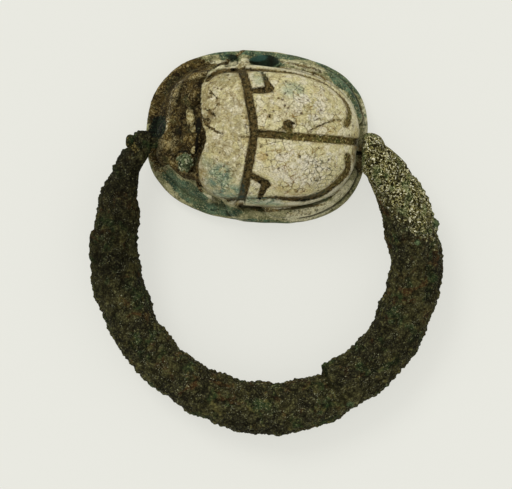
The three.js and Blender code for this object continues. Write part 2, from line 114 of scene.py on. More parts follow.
# Carved lines of the back in plan: width at the start and end, depth at the start and end, points
BACK_LINES = {
    "cross": (0.6, 0.6, 0.36, 0.36, [
        (-1.75, 5.3), (-1.57, 4.74), (-1.04, 3.39), (-0.69, 2.11), (-0.32, 0.7), (-0.19, -0.2),
        (-0.25, -1.28), (-0.36, -2.56), (-0.45, -3.46), (-0.55, -4.29), (-0.83, -5.3)]),
    "middle": (0.58, 0.5, 0.34, 0.3, [(-0.17, 0.0), (2.32, 0.04), (4.8, 0.1), (7.9, 0.22)]),
    "upper_notch": (0.4, 0.52, 0.3, 0.34, [(-0.75, 3.07), (0.2, 3.22), (0.68, 3.36)]),
    "upper_notch_back": (0.52, 0.26, 0.34, 0.16, [(0.6, 3.36), (0.33, 3.95), (-0.05, 4.6)]),
    "lower_notch": (0.42, 0.5, 0.32, 0.34, [(-0.3, -2.98), (0.5, -3.3), (1.12, -3.6)]),
    "lower_notch_back": (0.5, 0.34, 0.34, 0.26, [(1.0, -3.5), (0.86, -3.95), (0.66, -4.55)]),
    "upper_border": (0.3, 0.22, 0.2, 0.1, [
        (-1.5, 4.66), (-0.4, 4.74), (0.78, 4.8), (1.96, 4.8), (3.15, 4.66), (4.2, 4.4), (5.1, 4.0),
        (5.86, 3.45)]),
    "upper_border_tail": (0.24, 0.52, 0.1, 0.2, [
        (5.6, 3.65), (6.2, 3.15), (6.55, 2.6), (6.65, 2.0), (6.5, 1.35)]),
    "lower_border": (0.16, 0.34, 0.08, 0.28, [
        (-0.35, -4.74), (0.6, -4.62), (1.66, -4.5), (2.86, -4.45), (3.9, -4.36)]),
    "lower_border_tail": (0.34, 0.5, 0.24, 0.2, [
        (3.7, -4.38), (4.6, -4.12), (5.3, -3.75), (5.95, -3.15), (6.56, -2.5), (6.9, -1.8), (6.78, -0.95)]),
    "foreback_lip": (0.26, 0.26, 0.2, 0.2, [
        (-4.12, -2.9), (-3.98, -3.7), (-3.5, -4.45), (-2.75, -4.85), (-1.8, -4.95), (-1.1, -4.8)]),
    "foreback_lip_top": (0.3, 0.38, 0.22, 0.3, [
        (-4.0, 3.7), (-3.5, 4.25), (-2.8, 4.5), (-2.0, 4.55), (-1.5, 4.5)]),
}
# Fine cracks and hairlines of the back: width, points
CRACKS = [
    (0.14, [(3.6, 0.4), (4.18, 0.84), (4.85, 1.21), (5.65, 1.6), (6.1, 1.62)]),
    (0.24, [(-4.1, 0.95), (-3.7, 0.33), (-3.21, 0.03), (-2.84, -0.18), (-2.5, -0.22)]),
    (0.12, [(-1.25, -0.36), (-0.5, -0.3)]),
    (0.12, [(2.25, 0.87), (1.75, 0.55), (1.3, 0.35)]),
    (0.2, [(-3.95, 1.5), (-3.62, 1.3), (-3.3, 1.1), (-3.1, 1.0)]),
    (0.14, [(-3.85, 3.1), (-3.6, 2.72), (-3.3, 2.5), (-3.13, 2.3)]),
    (0.12, [(-3.1, 2.1), (-3.02, 1.9), (-3.2, 1.6)]),
    (0.14, [(-4.05, 0.6), (-3.75, 0.75), (-3.4, 0.62)]),
]
CRACK_DEPTH = 0.08
CRACK_REACH = 0.1
# Pits of the back: place, radius, depth
PITS = [
    (2.22, 0.86, 0.38, 0.14), (2.3, 0.55, 0.34, 0.12), (1.9, 0.62, 0.16, 0.08), (2.62, 0.98, 0.1, 0.05),
    (0.81, 1.34, 0.13, 0.08), (3.28, -1.35, 0.11, 0.08), (1.82, -1.38, 0.08, 0.05), (1.79, 4.03, 0.1, 0.05),
    (-3.5, 1.18, 0.12, 0.07), (-3.63, 0.7, 0.16, 0.08), (-3.57, 2.42, 0.08, 0.05), (0.38, -0.88, 0.09, 0.05),
    (-3.3, 1.5, 0.07, 0.04), (2.7, 1.35, 0.07, 0.04), (-3.61, 2.72, 0.12, 0.06), (-3.13, 2.33, 0.12, 0.06),
    (-3.62, 1.34, 0.16, 0.08), (-3.31, 1.15, 0.14, 0.07), (-3.02, 1.9, 0.1, 0.05), (1.0, 2.3, 0.06, 0.03),
    (0.4, 1.75, 0.06, 0.03), (1.45, 2.0, 0.05, 0.03), (0.6, 2.6, 0.05, 0.03), (0.85, 0.7, 0.05, 0.03),
    (4.1, 0.65, 0.06, 0.03)]
# Where the walls of a line and a pit start and end, from their edges, and how far inside the soil starts
LINE_WALL = (-0.12, 0.1)
PIT_WALL = (-0.1, 0.05)
SOIL_EDGE = 0.02
# Depth under which a line counts as shallow, and how far the soil then draws in from its edge
SHALLOW_LINE = 0.3
SHALLOW_SOIL_EDGE = 0.12
# Front edge of the back and outline of the head, in plan
FOREBACK_FRONT = [
    (-1.3, 6.6), (-2.3, 5.45), (-3.3, 4.95), (-4.0, 4.3), (-4.35, 3.5), (-4.36, 2.5), (-4.22, 1.35),
    (-3.98, 0.3), (-3.62, -0.62), (-3.78, -1.41), (-4.04, -2.36), (-4.08, -3.3), (-3.82, -4.2), (-3.1, -4.95),
    (-1.9, -5.35), (-0.9, -6.6)]
HEAD_OUTLINE = [
    (-2.3, 4.9), (-4.4, 4.35), (-5.35, 3.95), (-6.15, 3.3), (-6.5, 2.5), (-6.58, 1.47), (-6.6, 0.52),
    (-6.74, -0.67), (-6.72, -1.75), (-6.25, -2.6), (-5.6, -3.2), (-4.9, -3.56), (-4.3, -3.62), (-2.3, -3.9)]
# Forms of the head: place, half length and half width, rise, turn in degrees
HEAD_LUMPS = [
    (-5.1, 2.55, 0.8, 1.0, 0.5, 0), (-5.1, -2.5, 0.66, 0.85, 0.55, 12), (-4.75, -0.85, 0.75, 0.65, 0.6, -18),
    (-4.95, 0.75, 0.3, 0.85, 0.32, 10), (-4.5, -1.56, 0.2, 0.28, 0.22, 0), (-5.9, 0.4, 0.36, 1.6, 0.22, 0),
    (-5.6, -1.4, 0.22, 1.0, 0.22, -35), (-6.1, -1.3, 0.25, 0.9, 0.2, 10)]
# Legs: half width, how softly it joins the rest, points in plan and height
LEGS = [
    (0.42, 0.6, [
        (-1.41, 4.48, 2.3), (-1.42, 5.1, 2.26), (-1.48, 5.5, 1.9), (-1.3, 5.85, 1.2), (-0.6, 6.0, 0.75),
        (0.7, 5.95, 0.75), (1.5, 5.7, 1.2), (3.0, 5.45, 1.2)]),
    (0.43, 0.6, [
        (-1.41, -4.48, 2.3), (-1.37, -5.38, 2.16), (-0.75, -5.82, 1.62), (0.83, -5.75, 1.3),
        (3.0, -5.45, 1.2)]),
    (0.5, 0.34, [
        (1.3, 4.74, 2.0), (2.1, 5.3, 1.94), (3.74, 5.22, 2.0), (5.48, 4.48, 2.0), (6.64, 3.33, 1.9),
        (7.22, 2.05, 1.75)]),
    (0.5, 0.3, [
        (1.08, -4.74, 2.0), (1.99, -5.38, 1.94), (3.74, -5.22, 1.89), (5.48, -4.48, 1.84),
        (6.64, -3.33, 1.78), (7.22, -2.05, 1.67)]),
]

# Where a zone starts to fade and where it ends, as shares of its half sizes
ZONE_FADE = (0.6, 1.3)
# Coloured zones of the stone in plan, by the attribute that takes them: place, half sizes, turn in degrees,
# strength
ZONES = {
    "back_white": [
        (3.4, -2.2, 2.4, 1.5, 0, 0.68), (3.1, 2.85, 0.7, 0.5, 0, 0.9), (4.4, 2.4, 0.55, 0.55, 0, 0.8),
        (4.05, 1.5, 0.5, 0.45, 0, 0.7), (2.1, -1.6, 0.7, 0.5, 0, 0.8), (3.7, -1.7, 0.7, 0.5, 0, 0.9),
        (2.6, -2.6, 0.9, 0.5, 0, 0.7), (-2.0, 1.5, 0.5, 1.4, 0, 0.5), (5.6, -1.2, 0.6, 0.5, 0, 0.6),
        (1.2, -0.7, 0.6, 0.3, 0, 0.5)],
    "back_yellow": [
        (0.5, -1.6, 0.5, 0.4, 0, 0.9), (1.0, 3.0, 0.6, 0.4, 0, 0.5), (3.2, 3.6, 1.2, 0.4, -10, 0.5),
        (5.6, 1.0, 0.6, 0.8, 0, 0.5), (1.8, -3.8, 0.9, 0.3, 0, 0.6), (-2.2, 3.0, 0.6, 1.0, 0, 0.4),
        (3.4, -3.9, 1.4, 0.25, 8, 0.6)],
    "back_stain": [
        (-3.0, 3.9, 1.6, 1.1, 0, 0.66), (-3.9, 2.6, 0.35, 1.6, 0, 0.6), (-3.6, 0.9, 0.5, 0.7, 0, 0.7),
        (1.2, 2.5, 1.3, 1.0, 0, 0.42), (3.0, 2.2, 2.4, 1.4, 0, 0.34), (-3.9, -3.2, 0.35, 1.4, 0, 0.5),
        (-0.9, 3.6, 0.3, 0.8, 0, 0.4), (4.2, 3.9, 1.6, 0.5, -20, 0.45), (6.9, 1.2, 0.5, 1.4, 0, 0.35),
        (7.4, -0.7, 0.4, 1.1, 0, 0.9), (2.2, -3.6, 1.2, 0.4, 0, 0.25)],
    "back_teal": [
        (-2.4, -3.6, 1.0, 1.2, 0, 0.85), (-1.6, -4.4, 1.1, 0.6, 0, 0.95), (0.8, -4.85, 1.7, 0.4, 0, 0.9),
        (-0.7, -4.2, 0.25, 0.9, 0, 0.9), (2.3, 3.5, 0.9, 0.6, 0, 0.55), (-0.2, 4.1, 0.6, 0.6, 0, 0.45),
        (-3.4, -2.2, 0.5, 0.7, 0, 0.4), (4.6, -4.1, 1.2, 0.3, 25, 0.35), (-2.6, 4.0, 0.9, 0.5, 0, 0.15)],
    "fine_crackle": [
        (5.0, -2.3, 1.8, 1.4, 0, 1.0), (-2.4, -3.3, 1.1, 1.3, 0, 1.0), (3.6, 2.0, 2.4, 1.5, 0, 0.55)],
    "side_teal": [
        (-5.8, -3.95, 1.3, 0.45, -38, 0.95), (-4.5, -4.7, 1.5, 0.7, -25, 1.0),
        (-2.3, -5.7, 1.9, 0.45, -3, 1.0), (5.7, 4.75, 1.4, 0.5, -38, 0.85), (7.1, 3.1, 1.5, 0.3, -62, 0.62),
        (0.1, 5.5, 1.4, 0.5, 0, 1.0), (-2.6, 5.7, 0.8, 0.35, 0, 1.0), (0.5, 6.15, 4.0, 0.25, 0, 0.75),
        (-3.4, 5.95, 1.6, 0.16, 8, 0.8), (4.6, 5.75, 1.4, 0.2, -24, 0.75), (6.7, 4.55, 1.3, 0.2, -48, 0.7),
        (8.05, 1.9, 0.2, 2.0, 12, 0.6), (1.0, -6.3, 3.5, 0.2, 2, 0.6), (-6.0, -3.1, 0.8, 0.4, -40, 0.4),
        (5.0, -5.3, 1.6, 0.3, 25, 0.4)],
    # Cream of the sides: worn cream rims, and painted light on the outer walls at the tail end and the lower
    # right
    "side_cream_and_light": [
        (7.95, 2.2, 0.35, 1.7, 12, 0.62), (-3.2, 5.05, 1.7, 0.4, 8, 1.0), (-1.4, 5.3, 0.4, 0.5, 0, 0.9),
        (3.0, 5.5, 2.2, 0.3, -10, 0.6), (-2.8, -4.95, 1.0, 0.14, -24, 0.8), (0.5, -5.1, 1.6, 0.25, 3, 0.8),
        (4.5, -5.2, 2.2, 0.6, 22, 0.9), (6.8, -3.4, 1.4, 0.4, 50, 0.7), (-5.6, -5.0, 1.9, 0.2, -42, 0.4),
        (7.0, 1.4, 0.4, 2.0, 14, 0.9)],
    "side_soil": [
        (-7.2, -3.1, 0.7, 0.35, -55, 0.65), (8.0, -0.8, 0.5, 1.4, 0, 1.0), (1.2, -5.3, 1.3, 0.3, 2, 0.9),
        (-0.9, -5.0, 0.5, 0.4, 0, 0.9), (-6.9, -2.9, 0.8, 0.4, -40, 0.6), (3.8, -5.35, 1.6, 0.3, 12, 0.5),
        (-0.7, 4.95, 0.9, 0.25, 0, 0.9), (-1.4, 5.2, 0.7, 0.35, 20, 0.6), (2.3, 5.05, 2.2, 0.26, -4, 0.9),
        (4.9, 4.4, 1.6, 0.24, -32, 0.8), (3.4, 5.4, 1.4, 0.3, -12, 0.5), (2.6, 5.55, 2.0, 0.12, -8, 0.8),
        (-3.0, 5.2, 1.2, 0.3, 8, 0.35), (3.5, -4.95, 2.4, 0.16, 10, 0.8), (6.3, -3.5, 1.6, 0.16, 50, 0.6)],
    "head_pale": [
        (-4.95, 0.75, 0.28, 0.8, 10, 0.7), (-4.72, 0.05, 0.2, 0.3, 0, 1.0),
        (-4.52, -1.55, 0.17, 0.28, 0, 0.9)],
    # Painted shade in the head's pockets and the shadow along the step under the front of the back
    "head_shade": [
        (-4.3, 0.25, 0.24, 0.7, 0, 1.0), (-4.35, -1.1, 0.14, 0.9, 0, 0.8), (-4.55, 3.0, 0.16, 1.2, 0, 0.4),
        (-5.6, -0.3, 0.16, 0.5, 20, 0.6), (-5.3, -1.75, 0.5, 0.14, 10, 0.7), (-6.3, 1.9, 0.3, 0.8, 0, 0.4)],
    "green_eye": [(-5.1, -2.5, 0.6, 0.75, 12, 1.0)],
    # Dark glassy patch at the nose, with the painted shade of a pit that is not carved
    "glassy_pit_shade": [(-7.4, -0.1, 0.7, 1.0, -12, 1.0)],
    "hollow": [
        (0.05, 5.66, 1.15, 0.5, 4, 1.0), (-2.5, 5.72, 0.6, 0.24, 4, 1.0), (-2.5, -5.75, 1.0, 0.13, -4, 0.8),
        (3.0, -5.75, 1.6, 0.08, 10, 0.4)],
    "hollow_teal": [(-0.55, 5.9, 0.8, 0.34, 6, 1.0), (-2.7, 5.8, 0.3, 0.12, 0, 0.5)],
}

# Sizes of the hoop in millimetres, in plan: its middle, and the inner and outer end of the crack across it
HOOP_CENTRE = (1.1, -9.5)
NOTCH_LINE = [(5.9, -17.4), (8.1, -20.1)]
# Depth of the crack, of the ledge on one side of it and height of the bulge on the other
CRACK_CUT = 0.25
LEDGE_DROP = 0.26
BULGE_RISE = 0.16
# Where each of them starts and ends, out from the crack's middle, and how far that middle wanders
CRACK_WALL = (0.05, 0.3)
LEDGE_START, LEDGE_END = (0.0, 0.1), (0.4, 2.2)
BULGE_START, BULGE_END = (0.0, 0.15), (1.2, 3.0)
CRACK_WANDER = 0.25
# Where all of it fades, sideways from its inner end, and the Y above which there is none of it. Then where
# ledge and bulge fade, as shares of the crack's length from its inner end
CRACK_FADE = (4.0, 6.0)
CRACK_LIMIT = -12
INWARD_FADE = (0.1, 0.6)
# Tan streak over the left tip, and the small knobs of verdigris: place, scale and start of the distance
TIP_STREAK = [(-9.7, -0.2), (-9.4, -0.8), (-8.9, -1.5)]
KNOBS = [(13.9, -5.8, 1.0, 0.0), (12.2, -7.3, 1.0, 0.25), (7.97, -19.6, 0.5, 0.3)]
# How near to the stone the crust is held back, along the bore and out from it, and its height there
STONE_ENDS = (9.0, 9.6)
STONE_SIDES = (3.6, 4.4)
HELD_BACK = -0.02
# Out from the bore's middle: its rim, where the crust starts, and the end of the bare face round it
BORE_RIM = (0.62, 0.85)
BORE_FACE = 2.2
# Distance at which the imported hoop's doubled points merge, and how far its facets are smoothed
HOOP_MERGE = 0.001
FACET_REACH = 1.4

# Pin in metres: radius and sides of the rod, length of its head and the share of its solid's width that the
# head fills, the head's rings as shares of its length and width, and where doubled points merge
ROD_RADIUS = 0.0004
ROD_SIDES = 32
PIN_HEAD_LENGTH = 0.00045
PIN_HEAD_WIDTH = 0.98
PIN_HEAD_RINGS = ((0.45, 0.97), (0.35, 0.8), (0.18, 0.6))
PIN_MERGE = 1e-7

# Camera in metres: place over the floor, the level at which the view width holds, the nearest and farthest
# that it sees, and the film's width in millimetres
CAMERA_PLACE = (0.00036, -0.00806)
VIEW_LEVEL = 0.0006
VIEW_RANGE = (0.01, 20.0)
FILM_WIDTH = 36.0
# Drop of the floor under the seal face, which keeps the two apart
FLOOR_DROP = 0.00002

# Step of the maps in plan, in millimetres, and the places that they cover
PLAN_STEP = 0.03
PLAN_X = np.arange(-8.7, 8.7, PLAN_STEP)
PLAN_Y = np.arange(-6.9, 6.9, PLAN_STEP)


def sample(plan, x, y):
    """Values of a map in plan at places, between its grid points."""
    u = np.clip((x - PLAN_X[0]) / PLAN_STEP, 0, len(PLAN_X) - 1.001)
    v = np.clip((y - PLAN_Y[0]) / PLAN_STEP, 0, len(PLAN_Y) - 1.001)
    i, j = u.astype(int), v.astype(int)
    u, v = u - i, v - j
    near = plan[i, j] * (1 - u) + plan[i + 1, j] * u
    far = plan[i, j + 1] * (1 - u) + plan[i + 1, j + 1] * u
    return near * (1 - v) + far * v


def smooth_line(points, steps=6):
    """Points of a smooth curve through the given ones."""
    p = np.array(points, float)
    if len(p) < 3:
        return p
    padded = np.vstack([2 * p[0] - p[1], p, 2 * p[-1] - p[-2]])
    made = []
    for i in range(len(p) - 1):
        a, b, c, d = padded[i:i + 4]
        for t in np.arange(steps) / steps:
            made.append(0.5 * (2 * b + (c - a) * t + (2 * a - 5 * b + 4 * c - d) * t * t
                               + (3 * b - a - 3 * c + d) * t ** 3))
    return np.vstack([made, p[-1]])


def measured(line):
    """Lengths of a line's segments in plan, and its length up to each of its points."""
    lengths = np.linalg.norm(np.diff(line[:, :2], axis=0), axis=1)
    return lengths, np.concatenate([[0], np.cumsum(lengths)])


def near_line(line, x, y):
    """Distance in plan to a line, and the share of its length at which the nearest point lies."""
    best = np.full(x.shape, 1e9)
    along = np.zeros(x.shape)
    lengths, reached = measured(line)
    for k in range(len(line) - 1):
        a, d = line[k, :2], line[k + 1, :2] - line[k, :2]
        t = np.clip(((x - a[0]) * d[0] + (y - a[1]) * d[1]) / max(d @ d, 1e-12), 0, 1)
        far = np.hypot(x - a[0] - t * d[0], y - a[1] - t * d[1])
        closer = far < best
        best = np.where(closer, far, best)
        along = np.where(closer, (reached[k] + t * lengths[k]) / reached[-1], along)
    return best, along


def inside_outline(line, x, y):
    """Whether places in plan lie inside a closed outline."""
    inside = np.zeros(x.shape, bool)
    for a, b in zip(line, np.roll(line, -1, axis=0)):
        if a[1] != b[1]:
            crosses = (a[1] > y) != (b[1] > y)
            inside ^= crosses & (x < (b[0] - a[0]) * (y - a[1]) / (b[1] - a[1]) + a[0])
    return inside


def seen_from(px, py, turn, x, y):
    """Places in plan as seen from one of them, along and across a direction turned by some degrees."""
    c, s = math.cos(math.radians(turn)), math.sin(math.radians(turn))
    return (x - px) * c + (y - py) * s, (y - py) * c - (x - px) * s


def step(value, low, high):
    """Smooth step from 0 at low to 1 at high."""
    t = np.clip((value - low) / (high - low), 0, 1)
    return t * t * (3 - 2 * t)


def blend_min(a, b, reach):
    """The smaller of two distances, rounded where they are within reach of each other."""
    h = np.maximum(reach - np.abs(a - b), 0) / reach
    return np.minimum(a, b) - h * h * reach / 4


def blend_max(a, b, reach):
    return -blend_min(-a, -b, reach)


def oval_share(oval, x, y):
    """How far out places in plan lie, as a share of the oval, and the slope of that share."""
    head_reach, tail_reach, half_width, head_round, tail_round = oval
    reach = np.where(x < 0, head_reach, tail_reach)
    power = np.where(x < 0, head_round, tail_round)
    u, v = np.abs(x) / reach + TINY, np.abs(y) / half_width + TINY
    share = (u ** power + v ** power) ** (1 / power)
    slope = np.hypot((u / share) ** (power - 1) / reach, (v / share) ** (power - 1) / half_width)
    return share, slope


def oval_distance(oval, x, y):
    share, slope = oval_share(oval, x, y)
    return (share - 1) / slope


def dome_distance(oval, base, top, x, y, z):
    """Distance from a rounded dome that stands on an oval wall."""
    share, slope = oval_share(oval, x, y)
    rise = np.maximum(z - base, 0) / (top - base)
    size = (share ** FULLNESS + rise ** FULLNESS) ** (1 / FULLNESS)
    out = (share / size) ** (FULLNESS - 1) * slope
    up = (rise / size) ** (FULLNESS - 1) / (top - base)
    return (size - 1) / np.hypot(out, up)


def carving_plan(x, y):
    """Depth of all that is cut into the back, and how far inside the soiled lines each place lies."""
    carve, dirt = np.zeros(x.shape), np.full(x.shape, -1.0)
    for start_width, end_width, start_depth, end_depth, points in BACK_LINES.values():
        far, along = near_line(smooth_line(points), x, y)
        out = far - (start_width + (end_width - start_width) * along) / 2
        depth = start_depth + (end_depth - start_depth) * along
        carve = np.maximum(carve, depth * (1 - step(out, *LINE_WALL)))
        dirt = np.maximum(dirt, -out - SHALLOW_SOIL_EDGE * step(SHALLOW_LINE - depth, 0.0, SHALLOW_LINE))
    for width, points in CRACKS:
        far, along = near_line(smooth_line(points), x, y)
        narrow = width / 2 * np.sin(np.pi * np.clip(along, 0.1, 0.9)) ** 0.5
        carve = np.maximum(carve, CRACK_DEPTH * (1 - step(far, 0.0, CRACK_REACH)))
        dirt = np.maximum(dirt, narrow - far - SOIL_EDGE)
    for px, py, radius, depth in PITS:
        out = np.hypot(x - px, y - py) - radius
        carve = np.maximum(carve, depth * (1 - step(out, *PIT_WALL)))
        dirt = np.maximum(dirt, -out - SOIL_EDGE)
    return carve, dirt


def engraved(out):
    """Depth of a line of the seal face at a distance from its middle."""
    return SEAL_LINE * (1 - step(out, SEAL_LINE / 2 + SEAL_WALL[0], SEAL_LINE / 2 + SEAL_WALL[1]))


def stone_plan():
    """Maps in plan of everything that is carved into the stone."""
    x, y = np.meshgrid(PLAN_X, PLAN_Y, indexing="ij")
    carve, dirt = carving_plan(x, y)
    front_line, head_line = smooth_line(FOREBACK_FRONT), smooth_line(HEAD_OUTLINE)
    front, _ = near_line(front_line, x, y)
    behind = inside_outline(np.vstack([front_line, [(10, -6.6), (10, 6.6)]]), x, y)
    head, _ = near_line(head_line, x, y)
    head = np.where(inside_outline(head_line, x, y), -head, head)
    relief = -HEAD_DISH * step(-head, *HEAD_DISH_WALL)
    for px, py, half_x, half_y, rise, turn in HEAD_LUMPS:
        u, v = seen_from(px, py, turn, x, y)
        near = np.clip(1 - (u / half_x) ** 2 - (v / half_y) ** 2, 0, 1)
        relief = relief + rise * near ** LUMP_FULLNESS
    seal = engraved(np.abs(oval_distance(PLATE_OVAL, x, y) + SEAL_BORDER))
    for px, py in SEAL_RINGS:
        for radius in SEAL_RING_RADII:
            seal = np.maximum(seal, engraved(np.abs(np.hypot(x - px, y - py) - radius)))
    maps = {"carve": carve, "dirt": dirt, "front": np.where(behind, -front, front), "head": head,
            "relief": relief, "seal": seal, "leg": [], "leg_height": []}
    for _, _, points in LEGS:
        line = smooth_line(points)
        far, along = near_line(line, x, y)
        _, reached = measured(line)
        maps["leg"].append(far)
        maps["leg_height"].append(np.interp(along, reached / reached[-1], line[:, 2]))
    return maps


def clypeus_distance(along, across, height):
    """Distance from the blunt front of the head, seen along the bore."""
    parts = (along - CLYPEUS_PLACE, across, height)
    share = np.sqrt(sum((p / half) ** 2 for p, half in zip(parts, CLYPEUS_HALF_SIZES))) + TINY
    slope = np.sqrt(sum((p / half ** 2) ** 2 for p, half in zip(parts, CLYPEUS_HALF_SIZES)))
    return share * (share - 1) / np.maximum(slope, 1e-3)


def stone_distance(maps, x, y, z):
    """Distance from the stone's surface, negative inside. The stone's own frame, millimetres."""
    at = {name: sample(maps[name], x, y) for name in ("carve", "front", "head", "relief", "seal")}
    plate = blend_max(oval_distance(PLATE_OVAL, x, y), np.maximum(z - PLATE_TOP, at["seal"] - z),
                      SOFTNESS["plate"])
    undercut = WAIST_UNDERCUT * (1 - step(z, *UNDERCUT_END))
    carving = at["carve"] * step(z, *CARVING_START)
    back = dome_distance(BACK_OVAL, BACK_EDGE, BACK_TOP, x, y, z) + undercut + carving
    back = blend_max(back, at["front"], SOFTNESS["back"])
    head = dome_distance(HEAD_OVAL, PLATE_TOP, HEAD_TOP, x, y, z) - at["relief"]
    head = blend_max(head, at["head"], SOFTNESS["head"])
    shoulders = dome_distance(SHOULDER_OVAL, PLATE_TOP - SHOULDER_SINK, SHOULDER_TOP, x, y, z)
    shoulders = blend_max(shoulders, x - SHOULDER_BACK, SOFTNESS["shoulders"])
    plate_and_back = blend_min(plate, back, SOFTNESS["pair"])
    shape = blend_min(plate_and_back, blend_min(head, shoulders, SOFTNESS["pair"]), SOFTNESS["all"])
    for (half, join, _), far, height in zip(LEGS, maps["leg"], maps["leg_height"]):
        leg = np.hypot(sample(far, x, y), z - sample(height, x, y)) - half
        shape = blend_min(shape, leg, join)
    c, s = math.cos(BORE_SKEW), math.sin(BORE_SKEW)
    along, across, height = x * c + y * s, y * c - x * s - BORE_PLACE[0], z - BORE_PLACE[1]
    shape = blend_min(shape, clypeus_distance(along, across, height), SOFTNESS["clypeus"])
    shape = blend_max(shape, BORE_RADIUS - np.hypot(across, height), SOFTNESS["bore"])
    return blend_max(shape, at["seal"] - z, SOFTNESS["seal"])


def field_slope(maps, points, reach=0.02):
    """Distance, unit slope and steepness of the stone's field at points."""
    x, y, z = points.T
    corners = np.array([(1, -1, -1), (-1, -1, 1), (-1, 1, -1), (1, 1, 1)], float)
    values = [stone_distance(maps, x + dx * reach, y + dy * reach, z + dz * reach) for dx, dy, dz in corners]
    slope = sum(value[:, None] * corner for value, corner in zip(values, corners)) / (4 * reach)
    length = np.maximum(np.linalg.norm(slope, axis=1), 0.2)
    return sum(values) / 4, slope / length[:, None], length


def surface_of(values, origin, pitch):
    """Closed quads where a grid of distances changes sign."""
    inside = values < 0
    shape = np.array(values.shape) - 1
    corners = np.array([(i, j, k) for i in (0, 1) for j in (0, 1) for k in (0, 1)])
    count = sum(inside[i:i + shape[0], j:j + shape[1], k:k + shape[2]].astype(np.int8) for i, j, k in corners)
    cells = np.argwhere((count > 0) & (count < 8))
    if not len(cells):
        raise RuntimeError("The stone has no surface in the space where it is carved")
    at = [values[tuple((cells + corner).T)] for corner in corners]
    total, hits = np.zeros((len(cells), 3)), np.zeros(len(cells))
    for a in range(8):
        for b in range(a + 1, 8):
            if np.abs(corners[a] - corners[b]).sum() == 1:
                crosses = (at[a] < 0) != (at[b] < 0)
                t = np.where(crosses, at[a] / np.where(crosses, at[a] - at[b], 1), 0)
                total += np.where(crosses[:, None], corners[a] + t[:, None] * (corners[b] - corners[a]), 0)
                hits += crosses
    points = origin + (cells + total / hits[:, None]) * pitch
    number = np.full(shape, -1)
    number[tuple(cells.T)] = np.arange(len(cells))
    faces = []
    for axis in range(3):
        u, v = (axis + 1) % 3, (axis + 2) % 3
        near = np.moveaxis(inside, (axis, u, v), (0, 1, 2))
        numbered = np.moveaxis(number, (axis, u, v), (0, 1, 2))
        places = np.argwhere(near[:-1, 1:-1, 1:-1] != near[1:, 1:-1, 1:-1])
        i, j, k = places[:, 0], places[:, 1] + 1, places[:, 2] + 1
        quad = np.stack([numbered[i, j - 1, k - 1], numbered[i, j, k - 1], numbered[i, j, k],
                         numbered[i, j - 1, k]], axis=1)
        leaves = near[i, j, k]
        faces.append(np.where(leaves[:, None], quad, quad[:, ::-1]))
    return points, np.vstack(faces)


def mesh_object(name, points, faces):
    mesh = bpy.data.meshes.new(name)
    mesh.from_pydata(points.tolist(), [], faces.tolist())
    mesh.validate()
    made = bpy.data.objects.new(name, mesh)
    bpy.context.scene.collection.objects.link(made)
    return made


def select_only(obj):
    if bpy.context.object and bpy.context.object.mode != "OBJECT":
        bpy.ops.object.mode_set(mode="OBJECT")
    bpy.ops.object.select_all(action="DESELECT")
    obj.hide_set(False)
    obj.select_set(True)
    bpy.context.view_layer.objects.active = obj


def finish_with(obj, kind, **settings):
    """Adds a modifier with these settings and applies it."""
    select_only(obj)
    modifier = obj.modifiers.new(kind.title(), kind)
    for key, value in settings.items():
        setattr(modifier, key, value)
    bpy.ops.object.modifier_apply(modifier=modifier.name)


def close_up(distance):
    """Merges the doubled points of the piece in edit mode, turns its faces outward and leaves the mode."""
    bpy.ops.mesh.select_all(action="SELECT")
    bpy.ops.mesh.remove_doubles(threshold=distance)
    bpy.ops.mesh.normals_make_consistent(inside=False)
    bpy.ops.object.mode_set(mode="OBJECT")


def points_and_normals(obj):
    """Places and outward directions of a mesh's points."""
    read = []
    for items, key in ((obj.data.vertices, "co"), (obj.data.vertex_normals, "vector")):
        flat = np.zeros(len(items) * 3, np.float32)
        items.foreach_get(key, flat)
        read.append(flat.reshape(-1, 3).astype(float))
    return read


def move_points(obj, points):
    obj.data.vertices.foreach_set("co", points.astype(np.float32).ravel())
    obj.data.update()


def paint(obj, **painted):
    """Stores numbers for each point of a mesh, by name, for its material to read."""
    for name, values in painted.items():
        layer = obj.data.attributes.new(name, "FLOAT", "POINT")
        layer.data.foreach_set("value", values.astype(np.float32))


def rough(points, size, seed=0.0):
    """Smooth noise from -1 to 1 with bumps about this many units across."""
    offset = Vector((seed, seed, seed))
    return np.array([noise.noise(Vector(p) / size + offset) for p in points])


def grains(points, size, seed=0.0):
    """Height of rounded grains about this many units across, from 0 between them to 1 on their tops."""
    offset = Vector((seed, seed, seed))
    return np.array([1 - min(noise.voronoi(Vector(p) / size + offset)[0][0], 1.0) for p in points])


def even_out(obj, maps, rounds):
    """Draws the stone's points onto its exact form, and spreads them evenly over it."""
    for _ in range(rounds):
        finish_with(obj, "SMOOTH", factor=0.5, iterations=1)
        for _ in range(2):
            points, _ = points_and_normals(obj)
            value, slope, length = field_slope(maps, points)
            move_points(obj, points - slope * np.clip(value / length, -DRAWN_REACH, DRAWN_REACH)[:, None])


def in_part_frame(points):
    """From the stone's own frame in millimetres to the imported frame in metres."""
    c, s = math.cos(BORE_SKEW), math.sin(BORE_SKEW)
    x, y, z = points.T
    return np.stack([x * c + y * s, y * c - x * s, z], axis=1) * MM


def settle(obj, points, node, material):
    """Puts a piece's points in their place just inside the box of its solid, and gives it its material."""
    low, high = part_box(node)
    move_points(obj, np.clip(points, np.array(low) + INSET, np.array(high) - INSET))
    select_only(obj)
    bpy.ops.object.shade_smooth()
    obj.data.materials.append(material)


def zones_at(name, x, y):
    """Strength of the strongest zone of this name at each place in plan."""
    strongest = np.zeros(len(x))
    for px, py, half_x, half_y, turn, strength in ZONES[name]:
        u, v = seen_from(px, py, turn, x, y)
        far = np.sqrt((u / half_x) ** 2 + (v / half_y) ** 2)
        strongest = np.maximum(strongest, strength * (1 - step(far, *ZONE_FADE)))
    return strongest


